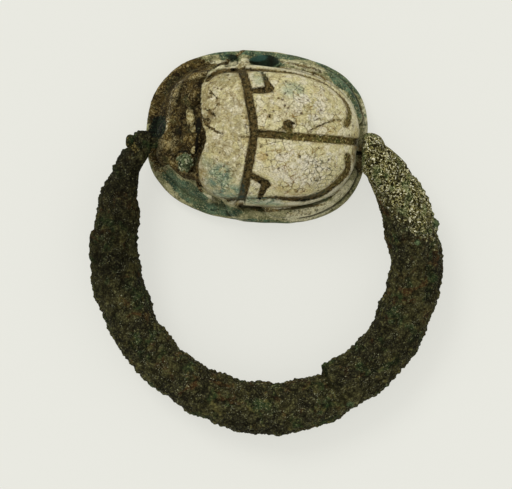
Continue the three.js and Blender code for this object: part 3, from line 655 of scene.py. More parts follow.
def shade(red, green, blue):
    """A colour as it looks on screen, 0 to 255, in the renderer's own scale."""
    linear = (((c / 255 + 0.055) / 1.055) ** 2.4 if c > 10.3 else c / 255 / 12.92 for c in (red, green, blue))
    return tuple(linear) + (1.0,)


class Finish:
    """A material and short calls for its nodes. Sizes are in millimetres, colours as on screen, 0 to 255."""

    def __init__(self, name):
        self.material = bpy.data.materials.new(name)
        self.material.use_nodes = True
        self.nodes = self.material.node_tree.nodes
        self.links = self.material.node_tree.links
        self.nodes.clear()
        self.shader = self.nodes.new("ShaderNodeBsdfPrincipled")
        self.output = self.nodes.new("ShaderNodeOutputMaterial")
        self.links.new(self.shader.outputs["BSDF"], self.output.inputs["Surface"])
        place = self.nodes.new("ShaderNodeTexCoord").outputs["Object"]
        self.place = self.vector("MULTIPLY", place, (1 / MM, 1 / MM, 1 / MM))
        # Patterns that several parts of one material share
        self.middling = self.fine = self.speck = self.streak = None

    def node(self, kind, inputs=None, **settings):
        made = self.nodes.new(kind)
        for key, value in settings.items():
            setattr(made, key, value)
        for key, value in (inputs or {}).items():
            self.put(made.inputs[key], value)
        return made

    def put(self, socket, value):
        if isinstance(value, bpy.types.NodeSocket):
            self.links.new(value, socket)
        else:
            socket.default_value = value

    def math(self, operation, a, b=0.0, clamp=False):
        return self.node("ShaderNodeMath", {0: a, 1: b}, operation=operation, use_clamp=clamp).outputs[0]

    def vector(self, operation, a, b):
        return self.node("ShaderNodeVectorMath", {0: a, 1: b}, operation=operation).outputs[0]

    def plus(self, a, b):
        return self.math("ADD", a, b)

    def times(self, a, b):
        return self.math("MULTIPLY", a, b)

    def attribute(self, name):
        return self.node("ShaderNodeAttribute", attribute_name=name).outputs["Fac"]

    def noise(self, size, detail=3.0, place=None, roughness=0.55, distortion=0.0):
        """Noise with bumps about this big."""
        return self.node("ShaderNodeTexNoise", {
            "Vector": place or self.place, "Scale": 1.0 / size, "Detail": detail, "Roughness": roughness,
            "Distortion": distortion}).outputs["Fac"]

    def cells(self, size, feature="F1", place=None, output="Distance"):
        return self.node("ShaderNodeTexVoronoi", {
            "Vector": place or self.place, "Scale": 1.0 / size, "Randomness": 1.0},
            feature=feature).outputs[output]

    def cracks(self, size, place, inner, outer):
        """Lines between cells of this size, full at one distance from their middle and gone at another."""
        return self.ramp(self.cells(size, "DISTANCE_TO_EDGE", place), inner, outer, 1.0, 0.0)

    def warped(self, size, reach):
        """Places pushed about by noise, for lines that wander."""
        push = self.node("ShaderNodeTexNoise", {"Vector": self.place, "Scale": 1.0 / size, "Detail": 2.0})
        centred = self.vector("SUBTRACT", push.outputs["Color"], (0.5, 0.5, 0.5))
        return self.vector("ADD", self.place, self.vector("MULTIPLY", centred, (reach, reach, reach)))

    def ramp(self, value, low, high, at_low=0.0, at_high=1.0):
        """A smooth change from one number where the value is low to another where it is high."""
        return self.node("ShaderNodeMapRange", {
            "Value": value, "From Min": low, "From Max": high, "To Min": at_low, "To Max": at_high},
            interpolation_type="SMOOTHSTEP").outputs["Result"]

    def swing(self, pattern, amount):
        """A pattern as an offset that goes as far down as up."""
        return self.times(self.math("SUBTRACT", pattern, 0.5), amount)

    def ragged(self, name, size, detail, amount, roughness=0.55):
        """A painted share whose edges noise of this size breaks up."""
        edge = self.noise(size, detail, roughness=roughness)
        return self.plus(self.attribute(name), self.swing(edge, amount))

    def mix(self, share, under, over, blend_type="MIX"):
        """One colour or number over another, by a share."""
        made = self.nodes.new("ShaderNodeMix")
        made.data_type = "RGBA"
        made.blend_type = blend_type
        for socket, value in ((0, share), (6, under), (7, over)):
            if isinstance(value, tuple) and len(value) == 3:
                value = shade(*value)
            self.put(made.inputs[socket], value)
        return made.outputs[2]

    def mottle(self, pattern, low, high, at_low, at_high):
        """Two colours in patches."""
        return self.mix(self.ramp(pattern, low, high), at_low, at_high)

    def layers(self, colour, *layers):
        """Lays colours over one another. Each layer has its pattern, the pattern's low and high level, the
        share that it covers at each of them, and its colour."""
        for pattern, low, high, at_low, at_high, tone in layers:
            colour = self.mix(self.ramp(pattern, low, high, at_low, at_high), colour, tone)
        return colour

    def dim(self, colour, pattern, low, high, at_low, at_high):
        """Darkens or lightens a colour by a factor that follows a pattern."""
        return self.mix(1.0, colour, self.ramp(pattern, low, high, at_low, at_high), "MULTIPLY")

    def bump(self, height, reach):
        return self.node("ShaderNodeBump", {"Height": height, "Distance": reach * MM, "Strength": 1.0}
                         ).outputs["Normal"]

    def done(self, colour, roughness, specular, relief):
        """Joins the finished patterns to the shader."""
        self.put(self.shader.inputs["Base Color"], colour)
        self.put(self.shader.inputs["Roughness"], roughness)
        self.shader.inputs["Specular IOR Level"].default_value = specular
        self.put(self.shader.inputs["Normal"], relief)
        return self.material


def back_glaze(f, main_colour):
    """Cream glaze of the back, with the share of teal that is left in it and of its crackle."""
    wander = f.warped(0.8, 0.3)
    cell_tone = f.cells(0.6, place=wander, output="Color")
    colour = f.layers(
        f.mottle(f.noise(2.2, 4.0), 0.38, 0.64, main_colour, (194, 184, 134)),
        (f.noise(0.7, 5.0), 0.46, 0.7, 0.0, 0.75, (212, 205, 174)),
        (cell_tone, 0.2, 0.5, 0.26, 0.0, (166, 148, 92)),
        (cell_tone, 0.56, 0.8, 0.0, 0.4, (216, 208, 186)),
        (f.ragged("back_white", 0.4, 5.0, 2.4, 0.65), 0.3, 1.0, 0.0, 0.8, (214, 207, 184)),
        (f.ragged("back_yellow", 0.35, 5.0, 2.4, 0.65), 0.35, 0.95, 0.0, 0.65, (178, 154, 92)),
        (f.ragged("back_stain", 0.5, 4.0, 1.2), 0.3, 0.8, 0.0, 0.8, (126, 113, 70)),
        (f.noise(0.3, 3.0, roughness=0.65), 0.58, 0.7, 0.0, 0.6, (124, 102, 52)))
    dull = f.times(f.attribute("foreback"), f.ramp(f.noise(0.5, 5.0, roughness=0.65), 0.4, 0.6, 0.12, 0.74))
    colour = f.mix(dull, colour, (134, 122, 82))
    teal = f.times(f.attribute("back_teal"), f.ramp(f.noise(0.7, 4.0), 0.34, 0.56, 0.25, 1.0))
    colour = f.mix(teal, colour, f.mottle(f.middling, 0.4, 0.6, (88, 120, 100), (140, 156, 122)))
    # Crackle, wide in some places, fine in others, and broken up
    wide = f.times(f.cracks(0.6, wander, 0.01, 0.065), f.ramp(f.noise(1.3, 4.0), 0.42, 0.58, 0.15, 1.0))
    middle = f.times(f.cracks(0.4, f.warped(0.6, 0.3), 0.01, 0.06),
                     f.ramp(f.noise(0.9, 4.0), 0.48, 0.62, 0.0, 0.8))
    wide = f.times(f.math("MAXIMUM", wide, middle), f.ramp(f.attribute("foreback"), 0.0, 1.0, 1.0, 0.7))
    patchy = f.times(f.attribute("fine_crackle"), f.ramp(f.noise(0.8, 3.0), 0.36, 0.5, 0.25, 1.0))
    narrow = f.times(f.cracks(0.38, wander, 0.02, 0.1), patchy)
    broken = f.ramp(f.noise(0.3, 3.0, roughness=0.65), 0.38, 0.54, 0.3, 1.0)
    crackle = f.times(f.math("MAXIMUM", wide, narrow), broken)
    ink = f.layers(
        f.mottle(f.noise(0.9), 0.42, 0.62, (62, 50, 18), (122, 92, 34)),
        (narrow, 0.1, 0.6, 0.0, 1.0, (44, 44, 20)),
        (teal, 0.1, 0.6, 0.0, 1.0, (26, 44, 32)))
    colour = f.mix(f.times(crackle, 0.88), colour, ink)
    # Specks of soil and pale grains
    stained = f.ramp(f.attribute("back_stain"), 0.1, 0.4)
    speckled = f.math("MAXIMUM", f.ramp(f.noise(0.9, 3.0), 0.5, 0.6), stained)
    specks = f.times(f.ramp(f.cells(0.5), 0.15, 0.27, 1.0, 0.0), speckled)
    specks = f.times(specks, f.ramp(f.noise(0.25, 2.0), 0.38, 0.48))
    colour = f.layers(
        f.mix(f.times(specks, 0.9), colour, (66, 46, 16)),
        (f.fine, 0.32, 0.44, 0.65, 0.0, (112, 92, 42)),
        (f.fine, 0.56, 0.7, 0.0, 0.65, (222, 216, 188)))
    return colour, teal, crackle


def side_glaze(f):
    """Tan and green glaze of the sides, with teal, cream and soil in their places; the cream is also painted
    light on the outer walls towards the tail.
    """
    teal = f.ragged("side_teal", 0.5, 4.0, 1.1)
    deep_teal = f.layers(
        f.mottle(f.middling, 0.4, 0.62, (36, 60, 44), (86, 110, 84)),
        (f.noise(1.1, 3.0), 0.46, 0.6, 0.0, 0.6, (82, 92, 58)))
    brown = f.mottle(f.noise(0.5), 0.4, 0.6, (56, 44, 18), (110, 90, 46))
    colour = f.layers(
        f.mottle(f.noise(0.6, 4.0), 0.36, 0.62, (98, 100, 64), (156, 152, 110)),
        (teal, 0.3, 0.62, 0.0, 0.95, deep_teal),
        # Cream rims, which also stand for painted light on the walls at the tail end and the lower right
        (f.ragged("side_cream_and_light", 0.3, 4.0, 1.0), 0.4, 0.7, 0.0, 0.9, (206, 200, 162)),
        (f.ragged("side_soil", 0.22, 3.0, 1.3), 0.42, 0.68, 0.0, 0.9, brown),
        (f.streak, 0.34, 0.48, 0.8, 0.0, (46, 44, 20)))
    pale = f.times(f.ramp(f.speck, 0.54, 0.66, 0.0, 0.8), f.ramp(teal, 0.3, 0.7, 1.0, 0.58))
    return f.mix(pale, colour, (198, 190, 142))


def head_crust(f):
    """Brown crust over the head with one eye left green: painted shade in its folds and pockets, painted
    light on its ridges, and a painted highlight along its rim.
    """
    colour = f.layers(
        f.mottle(f.noise(0.7, 4.0), 0.36, 0.62, (44, 32, 8), (88, 72, 32)),
        (f.noise(0.9, 3.0, place=f.warped(1.5, 2.0)), 0.54, 0.66, 0.0, 0.7, (72, 72, 40)),
        (f.streak, 0.36, 0.5, 0.9, 0.0, (20, 14, 4)),
        (f.streak, 0.54, 0.64, 0.0, 0.8, (150, 134, 88)))
    worn = f.times(f.ramp(f.attribute("edge"), 0.2, 0.7), f.ramp(f.speck, 0.45, 0.6))
    colour = f.mix(worn, colour, (150, 138, 96))
    glints = f.times(f.ramp(f.speck, 0.6, 0.68), f.ramp(f.middling, 0.42, 0.6))
    colour = f.mix(f.times(glints, 0.7), colour, (190, 180, 138))
    # Painted shade in the folds and painted light on the ridges, by the height of the head's forms
    colour = f.dim(colour, f.attribute("form"), 0.1, 0.95, 0.55, 1.5)
    colour = f.dim(colour, f.noise(1.3, 2.0), 0.35, 0.65, 0.75, 1.25)
    # Pale specks along the head's raised rim: a painted highlight
    rim_highlight = f.times(f.attribute("head_rim"), f.ramp(f.noise(0.15, 2.0, roughness=0.7), 0.49, 0.62))
    rim_highlight = f.times(rim_highlight, f.ramp(f.noise(0.5, 2.0), 0.4, 0.56, 0.15, 1.0))
    colour = f.mix(rim_highlight, colour, (196, 186, 148))
    pale_ridge = f.mottle(f.fine, 0.36, 0.66, (116, 98, 46), (206, 196, 146))
    green = f.layers(
        f.mottle(f.fine, 0.42, 0.56, (24, 34, 18), (84, 98, 64)),
        (f.streak, 0.52, 0.62, 0.0, 1.0, (170, 174, 140)))
    return f.layers(
        colour,
        (f.ragged("head_pale", 0.35, 4.0, 1.6), 0.3, 0.75, 0.0, 1.0, pale_ridge),
        # Painted shade in the head's pockets and under the step of the back
        (f.ragged("head_shade", 0.3, 4.0, 1.6), 0.35, 0.65, 0.0, 1.0, (26, 22, 12)),
        (f.ragged("green_eye", 0.3, 4.0, 2.6), 0.4, 0.7, 0.0, 0.85, green))


def line_soil(f, line, teal):
    """Soil in the carved lines: nearly black at the front, warm and gritty towards the tail."""
    soil = f.layers(
        f.mottle(f.noise(0.4, 4.0), 0.35, 0.65, (17, 11, 1), (44, 35, 11)),
        (line, 0.04, 0.24, 0.0, 0.35, (72, 64, 30)),
        (f.speck, 0.36, 0.46, 0.8, 0.0, (26, 18, 4)),
        (f.speck, 0.56, 0.66, 0.0, 0.75, (140, 130, 90)))
    grit = f.noise(0.18, 2.0, roughness=0.6)
    warm_soil = f.layers(
        f.mottle(f.noise(0.3, 4.0), 0.38, 0.6, (44, 35, 9), (106, 92, 44)),
        (f.noise(0.8, 3.0), 0.46, 0.6, 0.0, 0.75, (78, 84, 42)),
        (grit, 0.54, 0.62, 0.0, 0.95, (34, 22, 4)),
        (grit, 0.34, 0.44, 1.0, 0.0, (182, 168, 110)))
    soil = f.mix(f.attribute("warm"), soil, warm_soil)
    return f.mix(f.times(teal, 0.8), soil, f.mix(f.fine, (34, 54, 48), (70, 96, 86)))


def stone_finish(sizes):
    """Worn, crackled glaze: cream on the back, green and tan on the sides, brown crust over the head."""
    f = Finish("worn_glaze")
    f.middling = f.noise(0.8, 4.0)
    f.fine = f.noise(0.2, 3.0, roughness=0.65)
    f.speck = f.noise(0.11, 2.0, roughness=0.7)
    f.streak = f.noise(0.17, 3.0, place=f.warped(0.6, 0.7), roughness=0.65, distortion=0.6)
    colour, teal, crackle = back_glaze(f, tuple(sizes.glaze_colour) + (1.0,))
    on_side = f.ramp(f.plus(f.attribute("side"), f.swing(f.fine, 0.5)), 0.35, 0.65)
    colour = f.mix(on_side, colour, side_glaze(f))
    # Worn edges are paler
    edge = f.times(f.ramp(f.attribute("edge"), 0.25, 0.8), f.ramp(f.noise(0.4, 3.0), 0.36, 0.56))
    colour = f.mix(f.times(edge, 0.6), colour, (206, 202, 172))
    crust = f.ramp(f.ragged("crust", 0.3, 4.0, 1.1), 0.4, 0.56)
    colour = f.mix(crust, colour, head_crust(f))
    # Soil in the carved lines, and stains beside them
    line = f.ragged("line", 0.17, 3.0, 0.34, 0.65)
    in_line = f.ramp(line, -0.05, 0.03)
    colour = f.mix(in_line, colour, line_soil(f, line, teal))
    beside = f.times(f.ramp(f.attribute("line"), -0.22, 0.0, 0.0, 0.5), f.ramp(f.noise(0.25, 3.0), 0.42, 0.6))
    colour = f.mix(beside, colour, (118, 98, 56))
    # Shade and soil in the hollows
    groove = f.ramp(f.plus(f.attribute("groove"), f.swing(f.fine, 0.5)), 0.35, 0.85)
    in_groove = f.mottle(f.noise(0.5, 3.0), 0.42, 0.58, (52, 42, 16), (44, 54, 34))
    colour = f.mix(f.times(groove, 0.8), colour, in_groove)
    hollow = f.ramp(f.ragged("hollow", 0.4, 4.0, 0.9), 0.3, 0.75)
    in_hollow = f.layers(
        f.mottle(f.noise(0.6, 3.0), 0.4, 0.6, (14, 16, 6), (20, 34, 24)),
        (f.attribute("hollow_teal"), 0.2, 0.9, 0.0, 1.0, f.mix(f.fine, (34, 58, 50), (58, 92, 82))))
    colour = f.mix(f.times(hollow, 0.95), colour, in_hollow)
    # Dark glassy patch at the nose: dark glaze with the painted shade of a pit that is not carved, and pale
    # specks as painted glints
    glassy_pit_shade = f.ramp(f.ragged("glassy_pit_shade", 0.3, 3.0, 0.6), 0.3, 0.5)
    glass = f.layers(
        f.mottle(f.noise(0.3, 2.0), 0.45, 0.65, (6, 8, 2), (24, 36, 22)),
        (f.speck, 0.61, 0.68, 0.0, 0.6, (128, 130, 88)))
    colour = f.mix(glassy_pit_shade, colour, glass)
    colour = f.dim(colour, f.noise(0.12, 2.0, roughness=0.7), 0.3, 0.7, 0.76, 1.22)
    roughness = f.plus(f.ramp(f.middling, 0.3, 0.7, 0.42, 0.6), f.times(in_line, 0.3))
    roughness = f.plus(roughness, f.times(crust, 0.25))
    roughness = f.math("SUBTRACT", roughness, f.times(glassy_pit_shade, 0.1), clamp=True)
    height = f.math("SUBTRACT", f.times(f.fine, 0.8), f.times(crackle, 0.8))
    height = f.plus(height, f.times(f.times(crust, f.streak), 4.5))
    height = f.plus(height, f.times(f.times(in_line, f.noise(0.13, 3.0)), 2.5))
    return f.done(colour, roughness, 0.1, f.bump(height, sizes.grain_height))


def crust_finish(name, sizes):
    """Dark corrosion with green, brown and red patches and pale sand towards the tail end, with painted shade
    and light.
    """
    f = Finish(name)
    grain = f.attribute("grain")
    f.fine = f.noise(0.15, 3.0, roughness=0.65)
    f.speck = f.noise(0.1, 2.0, roughness=0.7)
    f.streak = f.noise(0.19, 3.0, place=f.warped(0.5, 0.5), roughness=0.6, distortion=1.3)
    colour = f.layers(
        f.mottle(f.noise(2.6), 0.38, 0.64, tuple(sizes.crust_colour) + (1.0,), (66, 63, 36)),
        (f.noise(1.7, 4.0, place=f.warped(3.0, 4.0)), 0.52, 0.64, 0.0, 0.85, (44, 60, 32)),
        (f.noise(1.3, 4.0, place=f.warped(2.4, 5.0)), 0.56, 0.68, 0.0, 0.75, (74, 48, 24)),
        (f.noise(0.7, 3.0, place=f.warped(1.4, 2.0)), 0.58, 0.7, 0.0, 0.8, (92, 86, 46)),
        (f.noise(0.5, 4.0), 0.3, 0.48, 0.5, 0.0, (15, 13, 5)),
        # Painted shade where the grain is low, between the grains and in the crack
        (grain, 0.1, 0.5, 0.7, 0.0, (14, 12, 5)),
        (f.fine, 0.3, 0.5, 0.6, 0.0, (16, 14, 4)))
    # Painted highlight on the tops of the grains
    pale = f.times(f.ramp(f.fine, 0.5, 0.66), f.ramp(grain, 0.3, 0.8, 0.3, 0.8))
    colour = f.mix(pale, colour, (112, 110, 68))
    glints = f.times(f.ramp(f.speck, 0.6, 0.68), f.ramp(f.noise(0.6, 2.0), 0.44, 0.6))
    colour = f.mix(f.times(glints, 0.75), colour, (172, 172, 138))
    colour = f.mix(f.attribute("shaded"), colour, (8, 7, 2))
    # Sand, with green in it
    green_sand = f.mottle(f.streak, 0.42, 0.62, (38, 50, 24), (130, 136, 88))
    sand = f.layers(
        f.mottle(f.streak, 0.46, 0.6, (28, 25, 6), (170, 162, 98)),
        (f.streak, 0.57, 0.65, 0.0, 1.0, (248, 245, 220)),
        (f.noise(0.9), 0.5, 0.64, 0.0, 0.8, green_sand))
    sandy = f.ramp(f.ragged("sand", 0.35, 4.0, 2.0, 0.7), 0.4, 0.75)
    sandy = f.times(sandy, f.ramp(grain, 0.0, 0.3, 0.5, 1.0))
    verdigris = f.mottle(f.fine, 0.35, 0.65, (30, 44, 22), (104, 122, 84))
    tan = f.mottle(f.streak, 0.42, 0.6, (30, 25, 7), (116, 105, 60))
    colour = f.layers(
        f.mix(sandy, colour, sand),
        (f.ragged("verdigris", 0.25, 4.0, 1.4), 0.42, 0.75, 0.0, 0.8, verdigris),
        (f.plus(f.attribute("tan"), f.swing(f.fine, 1.0)), 0.5, 0.75, 0.0, 1.0, tan))
    colour = f.dim(colour, f.noise(0.13, 2.0, roughness=0.7), 0.3, 0.7, 0.7, 1.3)
    bumps = f.plus(f.noise(0.1, 3.0, roughness=0.65), f.times(f.cells(0.15), -0.8))
    return f.done(colour, f.ramp(f.fine, 0.3, 0.7, 0.55, 0.9), 0.04, f.bump(bumps, sizes.grain_relief))


def plain(name, description, default, low=0.0, high=0.4):
    """A number without a unit, or in millimetres where its description says so."""
    return FloatProperty(name=name, description=description, default=default, min=low, max=high)


def metres(name, description, default):
    return FloatProperty(name=name, description=description, default=default, subtype="DISTANCE",
                         unit="LENGTH")


def degrees(name, description, angle):
    return FloatProperty(name=name, description=description, default=math.radians(angle), subtype="ANGLE",
                         unit="ROTATION")


def colour_of(name, description, red, green, blue):
    return FloatVectorProperty(name=name, description=description, subtype="COLOR", size=3,
                               default=shade(red, green, blue)[:3])


class RINGStone(bpy.types.PropertyGroup):
    """Settings of the stone"""

    pitch: plain("Carving step", "Spacing of the points before thinning, in millimetres", 0.085, 0.05)
    quick_pitch: plain("Quick step", "Spacing of the points for a quick look, in millimetres", 0.16, 0.05)
    triangles: IntProperty(name="Triangles", description="Most triangles that the finished stone keeps",
                           default=190000, min=20000, max=199000)
    wear: plain("Wear", "Height of the lumps that wear has left, in millimetres", 0.045, high=0.3)
    grain_height: plain("Grain", "Height of the finest grain, in millimetres", 0.02, high=0.2)
    glaze_colour: colour_of("Glaze", "Main colour of the worn glaze", 203, 196, 148)


class RINGHoop(bpy.types.PropertyGroup):
    """Settings of the hoop and the pin"""

    pitch: plain("Crust step", "Spacing of the hoop's points, in millimetres", 0.105, 0.05)
    quick_pitch: plain("Quick step", "Spacing of the points for a quick look, in millimetres", 0.18, 0.05)
    lump_height: plain("Lumps", "Height of the broad lumps of corrosion, in millimetres", 0.1, high=0.6)
    grain_height: plain("Grains", "Height of the grains of corrosion, in millimetres", 0.27)
    grain_relief: plain("Fine grain", "Height of the finest grain, in millimetres", 0.07, high=0.2)
    crust_colour: colour_of("Crust", "Main colour of the crust", 42, 40, 26)


class RINGStage(bpy.types.PropertyGroup):
    """Settings of the floor, the light and the camera"""

    floor_colour: colour_of("Floor", "Colour of floor and background", 233, 233, 225)
    floor_size: metres("Floor size", "Side of the floor", 3.0)
    floor_glow: plain("Floor glow", "Share of the floor that shows without its shadows", 0.74, high=1.0)
    camera_height: metres("Camera height", "Height of the camera over the floor", 0.22)
    view_width: metres("View width", "Width that the picture shows at the level of the seal plate", 0.0384)
    view_turn: degrees("View turn", "Turn of the picture about the line of sight", 2.936)
    world_light: plain("Sky light", "Strength of the even light from all round", 0.77, high=3.0)
    key_light: plain("Key light", "Light that the lamp throws on the floor", 0.24, high=3.0)
    key_tilt: degrees("Lamp tilt", "Tilt of the lamp from overhead", 42)
    key_turn: degrees("Lamp turn", "Turn of the lamp about the upright", 130)
    key_softness: degrees("Lamp softness", "How wide the lamp looks from the ring", 24)


class RING_OT_stone(bpy.types.Operator):
    """Carves the worn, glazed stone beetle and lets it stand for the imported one"""

    bl_idname = "ring.stone"
    bl_label = "Stone scarab"

    def execute(self, context):
        sizes = context.scene.ring_stone
        maps = stone_plan()
        stone = self.carve(sizes, maps)
        points, normals = points_and_normals(stone)
        x, y, z = points.T
        head, front = sample(maps["head"], x, y), sample(maps["front"], x, y)
        crust = self.crust_of(x, y, z, head, front)
        lumps = rough(points, 1.6) + 0.5 * rough(points, 0.7, 7.0)
        folds = rough(points, 0.9, 8.0)
        crust_relief = 0.11 * grains(points, 0.42) + 0.07 * rough(points, 0.35, 3.0) + 0.09 * folds
        calm = 0.35 + 0.65 * step(-head, -0.3, 0.2)
        push = np.where(z < SEAL_LEVEL, 0.0, sizes.wear * lumps + crust * crust_relief * calm)
        paint(stone, crust=crust)
        self.paint_zones(stone, x, y, z)
        self.paint_form(stone, maps, points, normals)
        self.paint_parts(stone, maps, x, y, z, head, front, folds)
        settle(stone, in_part_frame(points + normals * push[:, None]), "scarab", stone_finish(sizes))
        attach(stone, "scarab")
        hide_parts("scarab")
        return {"FINISHED"}

    @staticmethod
    def carve(sizes, maps):
        """The stone's mesh, on its exact form."""
        pitch = sizes.pitch
        low = np.array(CARVING_LOW)
        counts = np.ceil((np.array(CARVING_HIGH) - low) / pitch).astype(int) + 1
        x, y, z = (low[i] + np.arange(counts[i]) * pitch for i in range(3))
        values = stone_distance(maps, x[:, None, None], y[None, :, None], z[None, None, :])
        stone = mesh_object("stone_scarab", *surface_of(values, low, pitch))
        even_out(stone, maps, 2)
        triangles = 2 * len(stone.data.polygons)
        if triangles > sizes.triangles:
            finish_with(stone, "DECIMATE", ratio=sizes.triangles / triangles)
        return stone

    @staticmethod
    def crust_of(x, y, z, head, front):
        """Where the brown crust lies: the head, the shoulder above it and the step in front of the back."""
        on_head = step(-head, -0.25, 0.05)
        upper = step(y, -0.2, 0.6) * step(front, 0.0, 0.25) * (1 - step(y + 0.3 * (x + 4.0), 4.5, 6.0))
        nose = step(1.0 - np.hypot((x + 6.9) / 1.5, (y + 0.8) / 2.6), 0, 0.3) * step(y, -3.3, -2.7)
        crevice = step(0.3 - np.abs(front), 0.0, 0.2) * step(y, -4.9, -4.3)
        crust = np.maximum(np.maximum(on_head, 0.95 * upper), np.maximum(nose, 0.95 * crevice))
        return crust * step(front, -0.2, 0.12) * step(z, 0.5, 1.1)

    @staticmethod
    def paint_zones(stone, x, y, z):
        """Paints the coloured zones, some of them only between certain heights."""
        within = {"back_teal": step(z, 2.6, 3.2), "hollow": (1 - step(z, 2.6, 3.2)) * step(z, 0.6, 1.0),
                  "glassy_pit_shade": step(z, 0.9, 1.15)}
        for name in ZONES:
            paint(stone, **{name: zones_at(name, x, y) * within.get(name, 1.0)})

    @staticmethod
    def paint_form(stone, maps, points, normals):
        """Paints grooves and worn edges, by how near the stone is outside each point and within it."""
        z = points[:, 2]
        out_reach, in_reach = 0.45, 0.3
        outside = stone_distance(maps, *(points + normals * out_reach).T)
        within = stone_distance(maps, *(points - normals * in_reach).T)
        low_down = step(z, 0.3, 0.4) * (1 - step(z, 2.5, 2.9))
        paint(stone, groove=step(1 - outside / out_reach, 0.15, 0.95) * low_down,
              edge=step(1 + within / in_reach, 0.1, 0.7) * (z >= SEAL_LEVEL))

    @staticmethod
    def paint_parts(stone, maps, x, y, z, head, front, folds):
        """Paints the carved lines, the warm soil, the front of the back, the sides, a painted highlight along
        the head's rim, and the head's form, which gives painted shade and light and a painted shadow under
        the step of the back.
        """
        on_back = step(z, 2.6, 3.0) * (front < 0.2) > 0.5
        seal_line = np.where(z < SEAL_LEVEL, sample(maps["seal"], x, y) - 0.12, -1)
        border_tail = step(x, 4.6, 5.6) + step(np.abs(y), 4.1, 4.4) * step(y, 0, 1) * step(x, -0.2, 0.6)
        suture = step(x, 0.8, 3.0) * step(0.6 - np.abs(y - 0.1), 0, 0.3)
        sides = np.maximum(1 - step(z, 2.3, 3.0), step(front, 0.0, 0.3) * step(head, 0.0, 0.25))
        sides = np.maximum(sides, step(oval_distance(BACK_OVAL, x, y), -0.35, 0.0) * 0.55)
        # Painted shadow under the step of the back, taken off the head's form
        step_shadow = 0.35 * step(0.5 - np.abs(head - 0.35), 0, 0.4) * step(-x, 3.5, 5.0)
        form = sample(maps["relief"], x, y) + 0.12 * folds
        # Along the head's raised rim a painted highlight is stored as well
        paint(stone, line=np.where(on_back, sample(maps["dirt"], x, y), seal_line),
              warm=np.clip(np.maximum(border_tail * 0.8, suture), 0, 1),
              foreback=step(-x, 0.6, 1.2) * (1 - zones_at("back_teal", x, y)),
              head_rim=step(0.22 - np.abs(head + 0.02), 0, 0.2) * step(-x, 5.4, 6.3) * step(y, -1.2, 0.2),
              side=np.clip(sides * np.where(z < SEAL_FACE_LEVEL, 0.1, 1.0), 0, 1),
              form=np.clip(0.5 + form - step_shadow, 0, 1))


